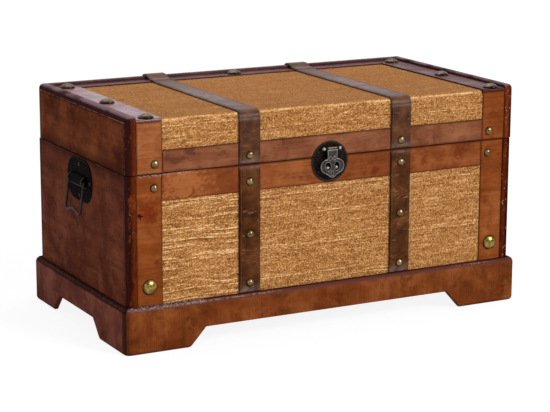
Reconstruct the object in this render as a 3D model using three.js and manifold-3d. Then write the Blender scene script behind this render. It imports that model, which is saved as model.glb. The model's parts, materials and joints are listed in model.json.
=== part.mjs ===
// Sea chest: a plinth-footed wooden box with a hinged lid, woven front and top panels,
// two straps, domed nails, a hasp latch in front, a drop handle on each end and two lid stays.
// Millimetres. X runs along the length, -Y is the front, Z is up and zero is the floor.
import * as THREE from 'three';
import { mergeVertices } from 'three/addons/utils/BufferGeometryUtils.js';
import Module from 'manifold-3d';

const wasm = await Module();
wasm.setup();

// Overall sizes
const chestLength = 740;
const chestDepth = 386;
const seamGap = 1.5;
const lidShift = 1.5;
const glueGap = 0.3;
const overrun = 5;

// Boards of the body and the lid
const endThickness = 17;
const backThickness = 17;
const frontThickness = 12;
const floorThickness = 10;
const lidTopThickness = 12;
const outerRound = 8;
const innerRound = 2.5;

// Frame and weave on the front, strips and weave on the lid
const endProud = 2;
const frameThickness = 4;
const postWidth = 45.5;
const bodyPanelHeight = 171.75;
const bodyRailHeight = 44;
const lidRailHeight = 36.5;
const lidPanelHeight = 50.75;
const weaveRecess = 1;
const weaveRound = 9;
const stripThickness = 5.5;
const rimAboveStrip = 5;
const backStripWidth = 26;
const stripRound = 3.5;

// Plinth
const plinthThickness = 10;
const plinthHeight = 78.5;
const plinthRound = 9;
const plinthCornerRound = 12;
const footRound = 6;
const archHeight = 33;
const archRun = 30;
const archEase = 2;
const floorHide = 3;
const frontFootLength = 115;
const sideFrontFootLength = 106;
const sideBackFootLength = 88;

// Straps
const strapWidth = 39;
const strapThickness = 3;
const strapLeftInset = 220.5;
const strapRightInset = 229;
const strapTail = 32;
const strapBend = 3;
const strapRimRun = 14;
const strapStripRun = 8;
const strapEndGap = 2;

// Nails
const largeNailDiameter = 26;
const largeNailHeight = 7;
const smallNailDiameter = 14;
const smallNailHeight = 5;
const nailShankDiameter = 3;
const nailShankLength = 11;
const smallNailInset = 13.5;
const bodyNailDrop = 22;
const lidNailRise = 15.5;
const footNailRise = 30.5;
const stripNailFront = 12;
const stripNailMiddle = -22;
const stripNailBack = 24;
const strapNailMiddleDrop = 116.25;
const strapNailLowRise = 16.5;
const strapNailDrop = 27;
const strapRightNailLift = 5.5;
const strapNailSink = 1;

// Latch
const latchX = 2;
const latchDiameter = 70;
const latchCentreBelowSeam = 8.5;
const latchPlateThickness = 1.6;
const haspProud = 11;
const haspThickness = 2;
const haspPinAboveSeam = 14.5;
const haspPinDiameter = 3;
const haspBarrelDiameter = 6.4;
const haspBarrelLength = 19.4;
const haspNeckWidth = 20.6;
const haspNeckStart = 4.4;
const haspLobeDrop = 30;
const haspLobeDiameter = 25;
const haspLobeSpacing = 20.4;
const haspChinDrop = 41;
const haspChinDiameter = 17;
const haspCheekHighTurn = 13;
const haspCheekLowTurn = 50;
const haspHoleWidth = 8.8;
const haspHoleHeight = 12.8;
const haspHoleSpacing = 16.6;
const haspStudDiameter = 4.4;
const haspStudHeadDiameter = 6;
const haspStudHeadLength = 2.6;
const haspStudDrop = 2.4;
const latchEarThickness = 1.5;
const latchEarDiameter = 6.6;
const latchBallDiameter = 6.2;
const latchPlay = 0.4;

// Side handles
const handleTopGap = 2.75;
const handlePlateLength = 106;
const handlePlateHeight = 73;
const handlePlateThickness = 2;
const handlePlateRound = 33;
const bracketHeight = 19;
const bracketProud = 9.5;
const bailProud = 4.7;
const bailWire = 4.2;
const bailWidth = 64;
const bailDrop = 54;
const bailCorner = 6;
const bailBow = 5;
const bailTilt = 8.5;
const bailPlay = 0.4;
const bailSeat = 5;
const stopHeight = 3.4;
const stopWidth = 7;
const stopDrop = 8;

// Hinges
const hingeInset = 140;
const hingeStandoff = 5;
const hingeBarrelDiameter = 8.2;
const hingePinDiameter = 3.6;
const hingeLength = 54;
const hingeKnuckle = 20;
const hingeLeafHeight = 30;
const hingeLeafThickness = 1.8;
const hingePlay = 0.4;

// Lid stays
const openAngle = 100;
const stayRadius = 120;
const stayAngle = 9;
const stayThickness = 2.5;
const stayWidth = 16;
const stayInset = 5;
const stayStudDiameter = 6;
const stayHeadDiameter = 12;
const stayHeadThickness = 2;
const stayFlangeDiameter = 15;
const stayPlay = 0.4;

// Smoothness of round shapes, as numbers of steps
const arcSteps = 4;
const nailSides = 12;
const domeSteps = 3;
const discSides = 32;
const rodSides = 16;
const wireSides = 8;
const bailSteps = 44;
const bowSteps = 8;

// Planes that the pieces share
const halfLength = chestLength / 2;
const halfDepth = chestDepth / 2;
const innerHalf = halfLength - endThickness;
const postInner = innerHalf - postWidth;
const postCentre = innerHalf - postWidth / 2;
const frameFace = -halfDepth + endProud;
const frameBack = frameFace + frameThickness;
const frontInner = frameBack + frontThickness;
const backInner = halfDepth - backThickness;
const weaveFace = frameFace + weaveRecess;
const weaveThickness = frameThickness - weaveRecess;
const floorBottom = archHeight + floorHide;
const floorTop = floorBottom + floorThickness;
const bodyBottom = floorTop + glueGap;
const bodyRailBottom = plinthHeight + bodyPanelHeight;
const bodyTop = bodyRailBottom + bodyRailHeight;
const seamHeight = bodyTop + seamGap / 2;
const lidBottom = bodyTop + seamGap;
const lidRailTop = lidBottom + lidRailHeight;
const lidWeaveTop = lidRailTop + lidPanelHeight;
const lidBoardTop = lidWeaveTop - weaveThickness;
const lidBoardBottom = lidBoardTop - lidTopThickness;
const stripTop = lidBoardTop + stripThickness;
const rimHeight = stripTop + rimAboveStrip;
const backStripFront = backInner - backStripWidth;

// Finishes
const frontWood = { color: 0x9c5a34, roughness: 0.45, metalness: 0 };
const railWood = { color: 0x7d462d, roughness: 0.45, metalness: 0 };
const sideWood = { color: 0x5f2f1f, roughness: 0.4, metalness: 0 };
const rimWood = { color: 0x4e2c2a, roughness: 0.35, metalness: 0 };
const plinthWood = { color: 0x774428, roughness: 0.42, metalness: 0 };
const innerWood = { color: 0x8a5c3a, roughness: 0.7, metalness: 0 };
const seagrass = { color: 0xc49a5f, roughness: 0.9, metalness: 0 };
const leather = { color: 0x4f2d20, roughness: 0.5, metalness: 0 };
const antiqueBrass = { color: 0x7a6a3c, roughness: 0.35, metalness: 1 };
const darkBronze = { color: 0x26211e, roughness: 0.4, metalness: 1 };
const pewter = { color: 0x6e655f, roughness: 0.4, metalness: 1 };

// Conversion between three.js geometry and solids
function solidOf(geometry) {
  geometry.deleteAttribute('normal');
  geometry.deleteAttribute('uv');
  const merged = mergeVertices(geometry);
  const corners = Array.from(merged.index.array);
  const triangles = [];
  for (let first = 0; first < corners.length; first += 3) {
    const [a, b, c] = corners.slice(first, first + 3);
    if (a !== b && b !== c && c !== a) {
      triangles.push(a, b, c);
    }
  }
  const vertProperties = Float32Array.from(merged.attributes.position.array);
  const triVerts = Uint32Array.from(triangles);
  return new wasm.Manifold(new wasm.Mesh({ numProp: 3, vertProperties, triVerts }));
}

function geometryOf(solid) {
  const mesh = solid.getMesh();
  const positions = Float32Array.from(mesh.vertProperties);
  const corners = Uint32Array.from(mesh.triVerts);
  const geometry = new THREE.BufferGeometry();
  geometry.setAttribute('position', new THREE.BufferAttribute(positions, 3));
  geometry.setIndex(new THREE.BufferAttribute(corners, 1));
  geometry.computeVertexNormals();
  return geometry;
}

function addPart(parent, name, solid, finish) {
  const mesh = new THREE.Mesh(geometryOf(solid), new THREE.MeshStandardMaterial(finish));
  mesh.name = name;
  parent.add(mesh);
  return mesh;
}

// Outlines
// Each corner is [u, v, radius]; the corner is replaced by an arc where it has a radius.
function filleted(corners, closed = true) {
  const points = [];
  corners.forEach(([u, v, radius], index) => {
    const corner = new THREE.Vector2(u, v);
    const atEnd = !closed && (index === 0 || index === corners.length - 1);
    if (!radius || atEnd) {
      points.push(corner);
      return;
    }
    const previous = corners[(index + corners.length - 1) % corners.length];
    const next = corners[(index + 1) % corners.length];
    const toPrevious = new THREE.Vector2(previous[0], previous[1]).sub(corner).normalize();
    const toNext = new THREE.Vector2(next[0], next[1]).sub(corner).normalize();
    const halfAngle = toPrevious.angleTo(toNext) / 2;
    const bisector = toPrevious.clone().add(toNext).normalize();
    const centre = corner.clone().addScaledVector(bisector, radius / Math.sin(halfAngle));
    const reach = radius / Math.tan(halfAngle);
    const start = corner.clone().addScaledVector(toPrevious, reach);
    const turn = Math.PI - 2 * halfAngle;
    const sense = Math.sign(toPrevious.cross(toNext)) * -1;
    for (let step = 0; step <= arcSteps; step += 1) {
      points.push(start.clone().rotateAround(centre, (sense * turn * step) / arcSteps));
    }
  });
  return points;
}

function rectangle(u0, v0, u1, v1, radius = 0) {
  return filleted([[u0, v0, radius], [u1, v0, radius], [u1, v1, radius], [u0, v1, radius]]);
}

function ellipse(centreU, centreV, width, height, sides = discSides) {
  const curve = new THREE.EllipseCurve(centreU, centreV, width / 2, height / 2);
  return curve.getPoints(sides).slice(0, sides);
}

// A slot or bar with round ends, from one centre to the other
function stadium(u, v0, v1, width) {
  const half = width / 2;
  const points = [];
  for (let step = 0; step <= 2 * arcSteps; step += 1) {
    const angle = (Math.PI * step) / (2 * arcSteps);
    points.push(new THREE.Vector2(u + half * Math.cos(angle), v1 + half * Math.sin(angle)));
  }
  const bottom = points.map((point) => new THREE.Vector2(2 * u - point.x, v1 + v0 - point.y));
  return points.concat(bottom);
}

// A band of even thickness on the left-hand side of an open path
function band(path, thickness) {
  const outer = path.map((point, index) => {
    const before = path[Math.max(index - 1, 0)];
    const after = path[Math.min(index + 1, path.length - 1)];
    const incoming = point.clone().sub(before).normalize();
    const outgoing = after.clone().sub(point).normalize();
    if (index === 0) {
      incoming.copy(outgoing);
    }
    if (index === path.length - 1) {
      outgoing.copy(incoming);
    }
    const normal = new THREE.Vector2(-incoming.y - outgoing.y, incoming.x + outgoing.x).normalize();
    const stretch = new THREE.Vector2(-incoming.y, incoming.x).dot(normal);
    return point.clone().addScaledVector(normal, thickness / stretch);
  });
  return path.concat(outer.reverse());
}

// Solids
const axisX = new THREE.Vector3(1, 0, 0);
const axisY = new THREE.Vector3(0, 1, 0);
const axisZ = new THREE.Vector3(0, 0, 1);
const front = axisY.clone().negate();
const sweepBases = {
  x: new THREE.Matrix4().makeBasis(axisY, axisZ, axisX),
  y: new THREE.Matrix4().makeBasis(axisX, axisZ, front),
  z: new THREE.Matrix4(),
};

// Sweeps an outline along an axis; it lies in the YZ plane for x, XZ for y and XY for z
function prism(points, axis, start, end, holes = []) {
  const shape = new THREE.Shape(points);
  shape.holes = holes.map((hole) => new THREE.Path(hole));
  const geometry = new THREE.ExtrudeGeometry(shape, { depth: end - start, bevelEnabled: false });
  geometry.applyMatrix4(sweepBases[axis]);
  if (axis === 'y') {
    geometry.translate(0, end, 0);
  } else {
    geometry.translate(axis === 'x' ? start : 0, 0, axis === 'z' ? start : 0);
  }
  return solidOf(geometry);
}

// A convex block about the Z axis with rounded upright edges and a rolled lower and upper rim
function rolledBlock(halfX, halfY, low, high, round, lowRoll, highRoll) {
  const points = [];
  const addRim = (roll, level, sense) => {
    for (let step = 0; step <= arcSteps; step += 1) {
      const angle = (Math.PI * step) / (2 * arcSteps);
      const x = halfX - roll * (1 - Math.cos(angle));
      const y = halfY - roll * (1 - Math.cos(angle));
      const z = level + sense * roll * (1 - Math.sin(angle));
      const plan = rectangle(-x, -y, x, y, round - (halfX - x));
      points.push(...plan.map((point) => [point.x, point.y, z]));
    }
  };
  addRim(lowRoll, low, 1);
  addRim(highRoll, high, -1);
  return wasm.Manifold.hull(points);
}

function block(low, high) {
  const size = high.map((value, index) => value - low[index]);
  const geometry = new THREE.BoxGeometry(...size);
  geometry.translate(...low.map((value, index) => value + size[index] / 2));
  return solidOf(geometry);
}

// A turned piece; the profile is [radius, distance along the direction] from its far end up
function turned(profile, origin, direction, sides) {
  const points = profile.map(([radius, along]) => new THREE.Vector2(radius, along));
  const geometry = new THREE.LatheGeometry(points, sides);
  const turn = new THREE.Quaternion().setFromUnitVectors(axisY, direction);
  geometry.applyQuaternion(turn);
  geometry.translate(...origin);
  return solidOf(geometry);
}

function rod(diameter, origin, direction, length, sides = rodSides) {
  const radius = diameter / 2;
  return turned([[0, 0], [radius, 0], [radius, length], [0, length]], origin, direction, sides);
}

function joined(solids) {
  return solids.reduce((sum, solid) => sum.add(solid));
}

function domeProfile(diameter, height) {
  const radius = diameter / 2;
  const sphere = (radius * radius + height * height) / (2 * height);
  const edgeAngle = Math.asin(radius / sphere);
  const profile = [];
  for (let step = 0; step < domeSteps; step += 1) {
    const angle = edgeAngle * (1 - step / domeSteps);
    profile.push([sphere * Math.sin(angle), height - sphere + sphere * Math.cos(angle)]);
  }
  profile.push([0, height]);
  return profile;
}

// A domed nail stands off its board by the glue gap, with its shank in a drilled hole
function nailSolid(nail) {
  const shank = nailShankDiameter / 2;
  const profile = [[0, -nailShankLength], [shank, -nailShankLength], [shank, 0]];
  const head = domeProfile(nail.diameter, nail.height);
  const origin = new THREE.Vector3(...nail.at).addScaledVector(nail.direction, glueGap);
  return turned(profile.concat(head), origin, nail.direction, nailSides);
}

function drilled(solid, nails) {
  const diameter = nailShankDiameter + 2 * glueGap;
  const length = nailShankLength + 2 * overrun;
  return nails.reduce((cut, nail) => {
    const origin = new THREE.Vector3(...nail.at).addScaledVector(nail.direction, overrun);
    const inward = nail.direction.clone().negate();
    return cut.subtract(rod(diameter, origin, inward, length, wireSides));
  }, solid);
}

// Nails of the body and the lid
const largeNail = { diameter: largeNailDiameter, height: largeNailHeight };
const smallNail = { diameter: smallNailDiameter, height: smallNailHeight };
const sides = [{ name: 'left', sign: -1 }, { name: 'right', sign: 1 }];

function frontNail(x, z, size) {
  return { ...size, at: [x, frameFace, z], direction: front };
}

function topNail(x, y) {
  return { ...largeNail, at: [x, y, stripTop], direction: axisZ };
}

function bodyPostNails(sign) {
  return {
    post_nail: frontNail(sign * (postInner + smallNailInset), bodyTop - bodyNailDrop, smallNail),
    foot_nail: frontNail(sign * postCentre, plinthHeight + footNailRise, largeNail),
  };
}

function lidPostNails(sign) {
  const x = sign * (postInner + smallNailInset);
  return { post_nail: frontNail(x, lidBottom + lidNailRise, smallNail) };
}

function stripNails(sign) {
  return {
    strip_nail_front: topNail(sign * postCentre, frameFace + stripNailFront),
    strip_nail_middle: topNail(sign * postCentre, stripNailMiddle),
    strip_nail_back: topNail(sign * postCentre, backInner - stripNailBack),
  };
}

const backStripNail = topNail(0, backInner - glueGap - largeNailDiameter / 2);
const allBodyPostNails = sides.flatMap(({ sign }) => Object.values(bodyPostNails(sign)));
const allLidPostNails = sides.flatMap(({ sign }) => Object.values(lidPostNails(sign)));
const sideStripNails = sides.flatMap(({ sign }) => Object.values(stripNails(sign)));

function addNails(parent, prefix, nails) {
  for (const [name, nail] of Object.entries(nails)) {
    addPart(parent, prefix + name, nailSolid(nail), antiqueBrass);
  }
}

// Groups: the body, the lid's hardware, and the lid's boards, which sit a little to the right
const chest = new THREE.Group();
const body = new THREE.Group();
const lid = new THREE.Group();
const lidBoards = new THREE.Group();
lidBoards.position.x = lidShift;
lid.add(lidBoards);
chest.add(body, lid);

// Plan of an end board, with its outer upright edges rounded
function endPlan(sign) {
  return filleted([
    [sign * innerHalf, -halfDepth, innerRound],
    [sign * halfLength, -halfDepth, outerRound],
    [sign * halfLength, halfDepth, outerRound],
    [sign * innerHalf, halfDepth, 0],
  ]);
}

function bodyEnd(sign) {
  return prism(endPlan(sign), 'z', bodyBottom, bodyTop);
}

const lidShell = rolledBlock(
  halfLength, halfDepth, lidBottom, rimHeight, outerRound, 0, outerRound,
);

function lidEnd(sign) {
  const outside = sign * (halfLength + overrun);
  const section = filleted([
    [sign * innerHalf, lidBottom, 0],
    [outside, lidBottom, 0],
    [outside, rimHeight, 0],
    [sign * innerHalf, rimHeight, innerRound],
  ]);
  const plan = filleted([
    [sign * innerHalf, -halfDepth, innerRound],
    [outside, -halfDepth, 0],
    [outside, halfDepth, 0],
    [sign * innerHalf, halfDepth, 0],
  ]);
  const across = prism(section, 'y', -halfDepth - overrun, halfDepth + overrun);
  return lidShell.intersect(across).intersect(prism(plan, 'z', lidBottom, rimHeight));
}

function bodyFront() {
  const half = innerHalf - glueGap;
  const board = block([-half, frameBack + glueGap, bodyBottom], [half, frontInner, bodyTop]);
  return drilled(board, allBodyPostNails);
}

function bodyBack() {
  const half = innerHalf - glueGap;
  return block([-half, backInner, bodyBottom], [half, halfDepth, bodyTop]);
}

function bodyFloor() {
  return block([-halfLength, frameFace, floorBottom], [halfLength, halfDepth, floorTop]);
}

function bodyPost(sign) {
  const near = sign * postInner;
  const far = sign * (innerHalf - glueGap);
  const low = [Math.min(near, far), frameFace, bodyBottom];
  const high = [Math.max(near, far), frameBack, bodyTop];
  return drilled(block(low, high), Object.values(bodyPostNails(sign)));
}

function bodyRail() {
  const half = postInner - glueGap;
  return block([-half, frameFace, bodyRailBottom], [half, frameBack, bodyTop]);
}

function bodyWeave() {
  const half = postInner - glueGap;
  return block([-half, weaveFace, bodyBottom], [half, frameBack, bodyRailBottom - glueGap]);
}

// Plinth: four mitred boards cut from one ring with rounded top edges and corners
const plinthHalfLength = halfLength + plinthThickness;
const plinthHalfDepth = halfDepth + plinthThickness;

// The cut-out between two feet, from one foot's end to the other's
function archCut(axis, start, end, reach) {
  const outline = filleted([
    [start - overrun, -overrun, 0],
    [end + overrun, -overrun, 0],
    [end, 0, 0],
    [end - archRun, archHeight, archEase],
    [start + archRun, archHeight, archEase],
    [start, 0, 0],
  ]);
  return prism(outline, axis, -reach, reach);
}

function plinthFrontPlan() {
  const mitre = glueGap / Math.SQRT2;
  const outerY = -plinthHalfDepth - overrun;
  const outerX = plinthHalfLength + overrun - mitre;
  const innerX = halfLength + glueGap - mitre;
  const stepX = innerHalf - glueGap;
  const landing = -halfDepth - glueGap;
  return filleted([
    [-outerX, outerY],
    [outerX, outerY],
    [innerX, landing],
    [stepX, landing],
    [stepX, frameFace - glueGap],
    [-stepX, frameFace - glueGap],
    [-stepX, landing],
    [-innerX, landing],
  ]);
}

function plinthBackPlan() {
  const mitre = glueGap / Math.SQRT2;
  const outerX = plinthHalfLength + overrun - mitre;
  const innerX = halfLength + glueGap - mitre;
  return filleted([
    [-innerX, halfDepth + glueGap],
    [innerX, halfDepth + glueGap],
    [outerX, plinthHalfDepth + overrun],
    [-outerX, plinthHalfDepth + overrun],
  ]);
}

function plinthSidePlan(sign) {
  const mitre = glueGap / Math.SQRT2;
  const outerY = plinthHalfDepth + overrun - mitre;
  const innerY = halfDepth + glueGap - mitre;
  return filleted([
    [sign * (halfLength + glueGap), -innerY],
    [sign * (plinthHalfLength + overrun), -outerY],
    [sign * (plinthHalfLength + overrun), outerY],
    [sign * (halfLength + glueGap), innerY],
  ]);
}

const plinthRing = rolledBlock(
  plinthHalfLength, plinthHalfDepth, 0, plinthHeight, plinthCornerRound, footRound, plinthRound,
);
const frontArchEnd = plinthHalfLength - frontFootLength;
const longArch = archCut('y', -frontArchEnd, frontArchEnd, plinthHalfDepth + overrun);
const sideArchStart = -plinthHalfDepth + sideFrontFootLength;
const sideArchEnd = plinthHalfDepth - sideBackFootLength;
const shortArch = archCut('x', sideArchStart, sideArchEnd, plinthHalfLength + overrun);

function plinthBoard(plan, arch) {
  return plinthRing.intersect(prism(plan, 'z', -overrun, plinthHeight + overrun)).subtract(arch);
}

// Lid boards
function lidFront() {
  const half = innerHalf - glueGap;
  const low = [-half, frameBack + glueGap, lidBottom];
  const high = [half, frontInner, lidBoardBottom - glueGap];
  return drilled(block(low, high), allLidPostNails);
}

function lidTop() {
  const half = innerHalf - glueGap;
  const section = filleted([
    [frameBack + glueGap, lidBoardBottom, 0],
    [backInner - glueGap, lidBoardBottom, 0],
    [backInner - glueGap, lidBoardTop, 0],
    [frameBack + glueGap, lidBoardTop, weaveRound - weaveThickness],
  ]);
  return drilled(prism(section, 'x', -half, half), [...sideStripNails, backStripNail]);
}

function lidBack() {
  const half = innerHalf - glueGap;
  const section = filleted([
    [backInner, lidBottom, 0],
    [halfDepth, lidBottom, 0],
    [halfDepth, rimHeight, outerRound],
    [backInner, rimHeight, innerRound],
  ]);
  return prism(section, 'x', -half, half);
}

function lidPost(sign) {
  const near = sign * postInner;
  const far = sign * (innerHalf - glueGap);
  const low = [Math.min(near, far), frameFace, lidBottom];
  const high = [Math.max(near, far), frameBack, lidBoardTop];
  return drilled(block(low, high), Object.values(lidPostNails(sign)));
}

function lidRail() {
  const half = postInner - glueGap;
  return block([-half, frameFace, lidBottom], [half, frameBack, lidRailTop]);
}

function lidStrip(sign) {
  const section = filleted([
    [frameFace, lidBoardTop + glueGap, 0],
    [backInner - glueGap, lidBoardTop + glueGap, 0],
    [backInner - glueGap, stripTop, 0],
    [frameFace, stripTop, stripRound],
  ]);
  const near = sign * postInner;
  const far = sign * (innerHalf - glueGap);
  const strip = prism(section, 'x', Math.min(near, far), Math.max(near, far));
  return drilled(strip, Object.values(stripNails(sign)));
}

function lidBackStrip() {
  const half = postInner - glueGap;
  const low = [-half, backStripFront, lidBoardTop + glueGap];
  return drilled(block(low, [half, backInner - glueGap, stripTop]), [backStripNail]);
}

// The woven panel starts on the rail, turns over the front edge and runs back to the strip
function lidWeave() {
  const half = postInner - glueGap;
  const inner = weaveRound - weaveThickness + glueGap;
  const section = filleted([
    [weaveFace, lidRailTop + glueGap, 0],
    [frameBack, lidRailTop + glueGap, 0],
    [frameBack, lidBoardTop + glueGap, inner],
    [backStripFront - glueGap, lidBoardTop + glueGap, 0],
    [backStripFront - glueGap, lidWeaveTop, 0],
    [weaveFace, lidWeaveTop, weaveRound],
  ]);
  return prism(section, 'x', -half, half);
}

// Straps, with the heads of their nails
function strapNail(x, y, z, direction) {
  const origin = new THREE.Vector3(x, y, z).addScaledVector(direction, -strapNailSink);
  const base = [[0, 0], [smallNailDiameter / 2, 0]];
  const head = domeProfile(smallNailDiameter, smallNailHeight);
  const raised = head.map(([radius, along]) => [radius, along + strapNailSink]);
  return turned(base.concat(raised), origin, direction, nailSides);
}

const strapFace = frameFace - glueGap - strapThickness;
const strapHighNail = bodyTop - strapNailDrop;
const strapMiddleNail = bodyTop - strapNailMiddleDrop;
const strapLowNail = plinthHeight + strapNailLowRise;

function bodyStrap(x, nailLift) {
  const half = strapWidth / 2;
  const low = [x - half, strapFace, plinthHeight + glueGap];
  const leatherBand = block(low, [x + half, frameFace - glueGap, bodyTop - strapEndGap]);
  const heights = [strapHighNail + nailLift, strapMiddleNail + nailLift, strapLowNail];
  return joined([leatherBand, ...heights.map((z) => strapNail(x, strapFace, z, front))]);
}

function lidStrap(x) {
  const half = strapWidth / 2;
  const backLine = halfDepth + glueGap;
  const overRim = rimHeight + glueGap;
  const overStrip = stripTop + glueGap;
  const overWeave = lidWeaveTop + glueGap;
  const frontLine = frameFace - glueGap;
  const path = filleted([
    [frontLine, lidBottom + strapEndGap, 0],
    [frontLine, overWeave, weaveRound + weaveRecess + glueGap],
    [backStripFront - strapStripRun, overWeave, strapBend],
    [backStripFront, overStrip, strapBend],
    [backInner - strapRimRun, overStrip, strapBend],
    [backInner, overRim, strapBend],
    [backLine, overRim, outerRound],
    [backLine, overRim - strapTail, 0],
  ], false);
  const leatherBand = prism(band(path, strapThickness), 'x', x - half, x + half);
  const tailNail = strapNail(x, backLine + strapThickness, overRim - strapTail / 2, axisY);
  return joined([leatherBand, strapNail(x, strapFace, lidBottom + lidNailRise, front), tailNail]);
}

// Latch: a round plate split at the seam, and a hasp with two holes that drops over two studs
const plateBack = frameFace - glueGap;
const plateFace = plateBack - latchPlateThickness;
const haspFace = frameFace - haspProud;
const haspBack = haspFace + haspThickness;
const pinY = haspFace + haspBarrelDiameter / 2;
const pinZ = seamHeight + haspPinAboveSeam;
const latchCentreZ = seamHeight - latchCentreBelowSeam;
const earInner = haspBarrelLength / 2 + latchPlay;
const earOuter = earInner + latchEarThickness;
const lobeZ = pinZ - haspLobeDrop;

function latchDisc() {
  const disc = ellipse(latchX, latchCentreZ, latchDiameter, latchDiameter);
  return prism(disc, 'y', plateFace, plateBack);
}

function latchHalf(bottom, top) {
  const half = latchDiameter / 2 + overrun;
  const low = [latchX - half, plateFace - overrun, bottom];
  const high = [latchX + half, plateBack + overrun, top];
  return latchDisc().intersect(block(low, high));
}

function pinBore(x, length) {
  return rod(haspPinDiameter + 2 * latchPlay, [x, pinY, pinZ], axisX, length);
}

function latchEar(sign) {
  const radius = latchEarDiameter / 2;
  const arm = block([earInner, pinY, pinZ - radius], [earOuter, plateBack, pinZ + radius]);
  const eye = rod(latchEarDiameter, [earInner, pinY, pinZ], axisX, latchEarThickness);
  const ear = arm.add(eye).subtract(pinBore(earInner - overrun, 2 * overrun));
  const placed = sign < 0 ? ear.translate([-earInner - earOuter, 0, 0]) : ear;
  return placed.translate([latchX, 0, 0]);
}

function latchUpperPlate() {
  const plate = latchHalf(lidBottom, latchCentreZ + latchDiameter);
  return joined([plate, latchEar(-1), latchEar(1)]);
}

// Each stud on the lower plate has a neck and a round head that shows in a hole of the hasp
function latchStud(sign) {
  const neck = haspStudDiameter / 2;
  const head = haspStudHeadDiameter / 2;
  const length = plateBack - haspFace;
  const shoulder = length - haspStudHeadLength;
  const profile = [[0, 0], [neck, 0], [neck, shoulder]];
  for (let step = 0; step < domeSteps; step += 1) {
    const angle = (Math.PI / 2) * (step / domeSteps);
    profile.push([head * Math.cos(angle), shoulder + haspStudHeadLength * Math.sin(angle)]);
  }
  profile.push([0, length]);
  const origin = [latchX + (sign * haspHoleSpacing) / 2, plateBack, lobeZ - haspStudDrop];
  return turned(profile, origin, front, nailSides);
}

function latchLowerPlate() {
  const plate = latchHalf(latchCentreZ - latchDiameter, bodyTop);
  return joined([plate, latchStud(-1), latchStud(1)]);
}

function latchPin() {
  const shaft = haspPinDiameter / 2;
  const ball = latchBallDiameter / 2;
  const inner = earOuter + latchPlay;
  const knob = [];
  for (let step = 0; step <= 2 * domeSteps; step += 1) {
    const angle = (Math.PI * step) / (2 * domeSteps);
    const radius = step === 2 * domeSteps ? 0 : ball * Math.sin(angle);
    knob.push([radius, ball - ball * Math.cos(angle)]);
  }
  const waist = knob.filter(([radius]) => radius > shaft);
  const upper = waist.map(([radius, along]) => [radius, inner + along]);
  const lower = waist.map(([radius, along]) => [radius, -inner - along]).reverse();
  const tip = inner + latchBallDiameter;
  const profile = [[0, -tip], ...lower, [shaft, -inner], [shaft, inner], ...upper, [0, tip]];
  return turned(profile, [latchX, pinY, pinZ], axisX, nailSides);
}

// The outline between the hasp's lobes and its chin, from points on their round edges
function haspCheeks() {
  const edgePoint = (sign, offset, centreZ, diameter, turn) => {
    const angle = THREE.MathUtils.degToRad(turn);
    const along = offset + (diameter / 2) * Math.sin(angle);
    return new THREE.Vector2(latchX + sign * along, centreZ - (diameter / 2) * Math.cos(angle));
  };
  const lobe = (sign) =>
    edgePoint(sign, haspLobeSpacing / 2, lobeZ, haspLobeDiameter, haspCheekHighTurn);
  const chin = (sign) =>
    edgePoint(sign, 0, pinZ - haspChinDrop, haspChinDiameter, haspCheekLowTurn);
  return [lobe(-1), chin(-1), chin(1), lobe(1)];
}

function latchHasp() {
  const neckHalf = haspNeckWidth / 2;
  const barrelHalf = haspBarrelLength / 2;
  const neckTop = pinZ - haspNeckStart;
  const neckWide = neckTop - haspThickness;
  const neck = filleted([
    [latchX - barrelHalf, pinZ],
    [latchX - barrelHalf, neckTop],
    [latchX - neckHalf, neckWide],
    [latchX - neckHalf, lobeZ],
    [latchX + neckHalf, lobeZ],
    [latchX + neckHalf, neckWide],
    [latchX + barrelHalf, neckTop],
    [latchX + barrelHalf, pinZ],
  ]);
  const plate = (outline) => prism(outline, 'y', haspFace, haspBack);
  const lobes = [-1, 1].map((sign) => {
    const centreX = latchX + (sign * haspLobeSpacing) / 2;
    return plate(ellipse(centreX, lobeZ, haspLobeDiameter, haspLobeDiameter));
  });
  const chin = plate(ellipse(latchX, pinZ - haspChinDrop, haspChinDiameter, haspChinDiameter));
  const cheeks = plate(haspCheeks());
  const barrelStart = latchX - barrelHalf;
  const barrel = rod(haspBarrelDiameter, [barrelStart, pinY, pinZ], axisX, haspBarrelLength);
  const bore = pinBore(barrelStart - overrun, haspBarrelLength + 2 * overrun);
  const holes = [-1, 1].map((sign) => {
    const centreX = latchX + (sign * haspHoleSpacing) / 2;
    const outline = ellipse(centreX, lobeZ, haspHoleWidth, haspHoleHeight, rodSides);
    return prism(outline, 'y', haspFace - overrun, haspBack + overrun);
  });
  const solid = joined([plate(neck), ...lobes, chin, cheeks, barrel]).subtract(bore);
  return solid.subtract(joined(holes));
}

// Side handles: a rounded plate with a half-round bracket and two stops, and a wire bail
const handleHeight = bodyTop - handleTopGap - handlePlateHeight / 2;
const handleWall = halfLength + glueGap;
const handlePlateFace = handleWall + handlePlateThickness;
const bailX = handlePlateFace + bailProud;
const bracketLength = bailWidth - bailWire - 3 * bailPlay;

function handleBracket() {
  const barrelShape = ellipse(handlePlateFace, handleHeight, 2 * bracketProud, bracketHeight);
  const barrel = prism(barrelShape, 'y', -bracketLength / 2, bracketLength / 2);
  const reach = bracketLength + overrun;
  const coreReach = bracketLength / 2 - bailSeat - bailPlay;
  const bottom = handleHeight - bracketHeight;
  const top = handleHeight + bracketHeight;
  const outer = handlePlateFace + bracketHeight;
  const outside = block([handleWall, -reach, bottom], [outer, reach, top]);
  const core = block([handleWall, -coreReach, bottom], [outer, coreReach, top]);
  const bore = rod(bailWire + 2 * bailPlay, [bailX, -reach, handleHeight], axisY, 2 * reach);
  return barrel.intersect(outside).subtract(bore.subtract(core));
}

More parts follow.
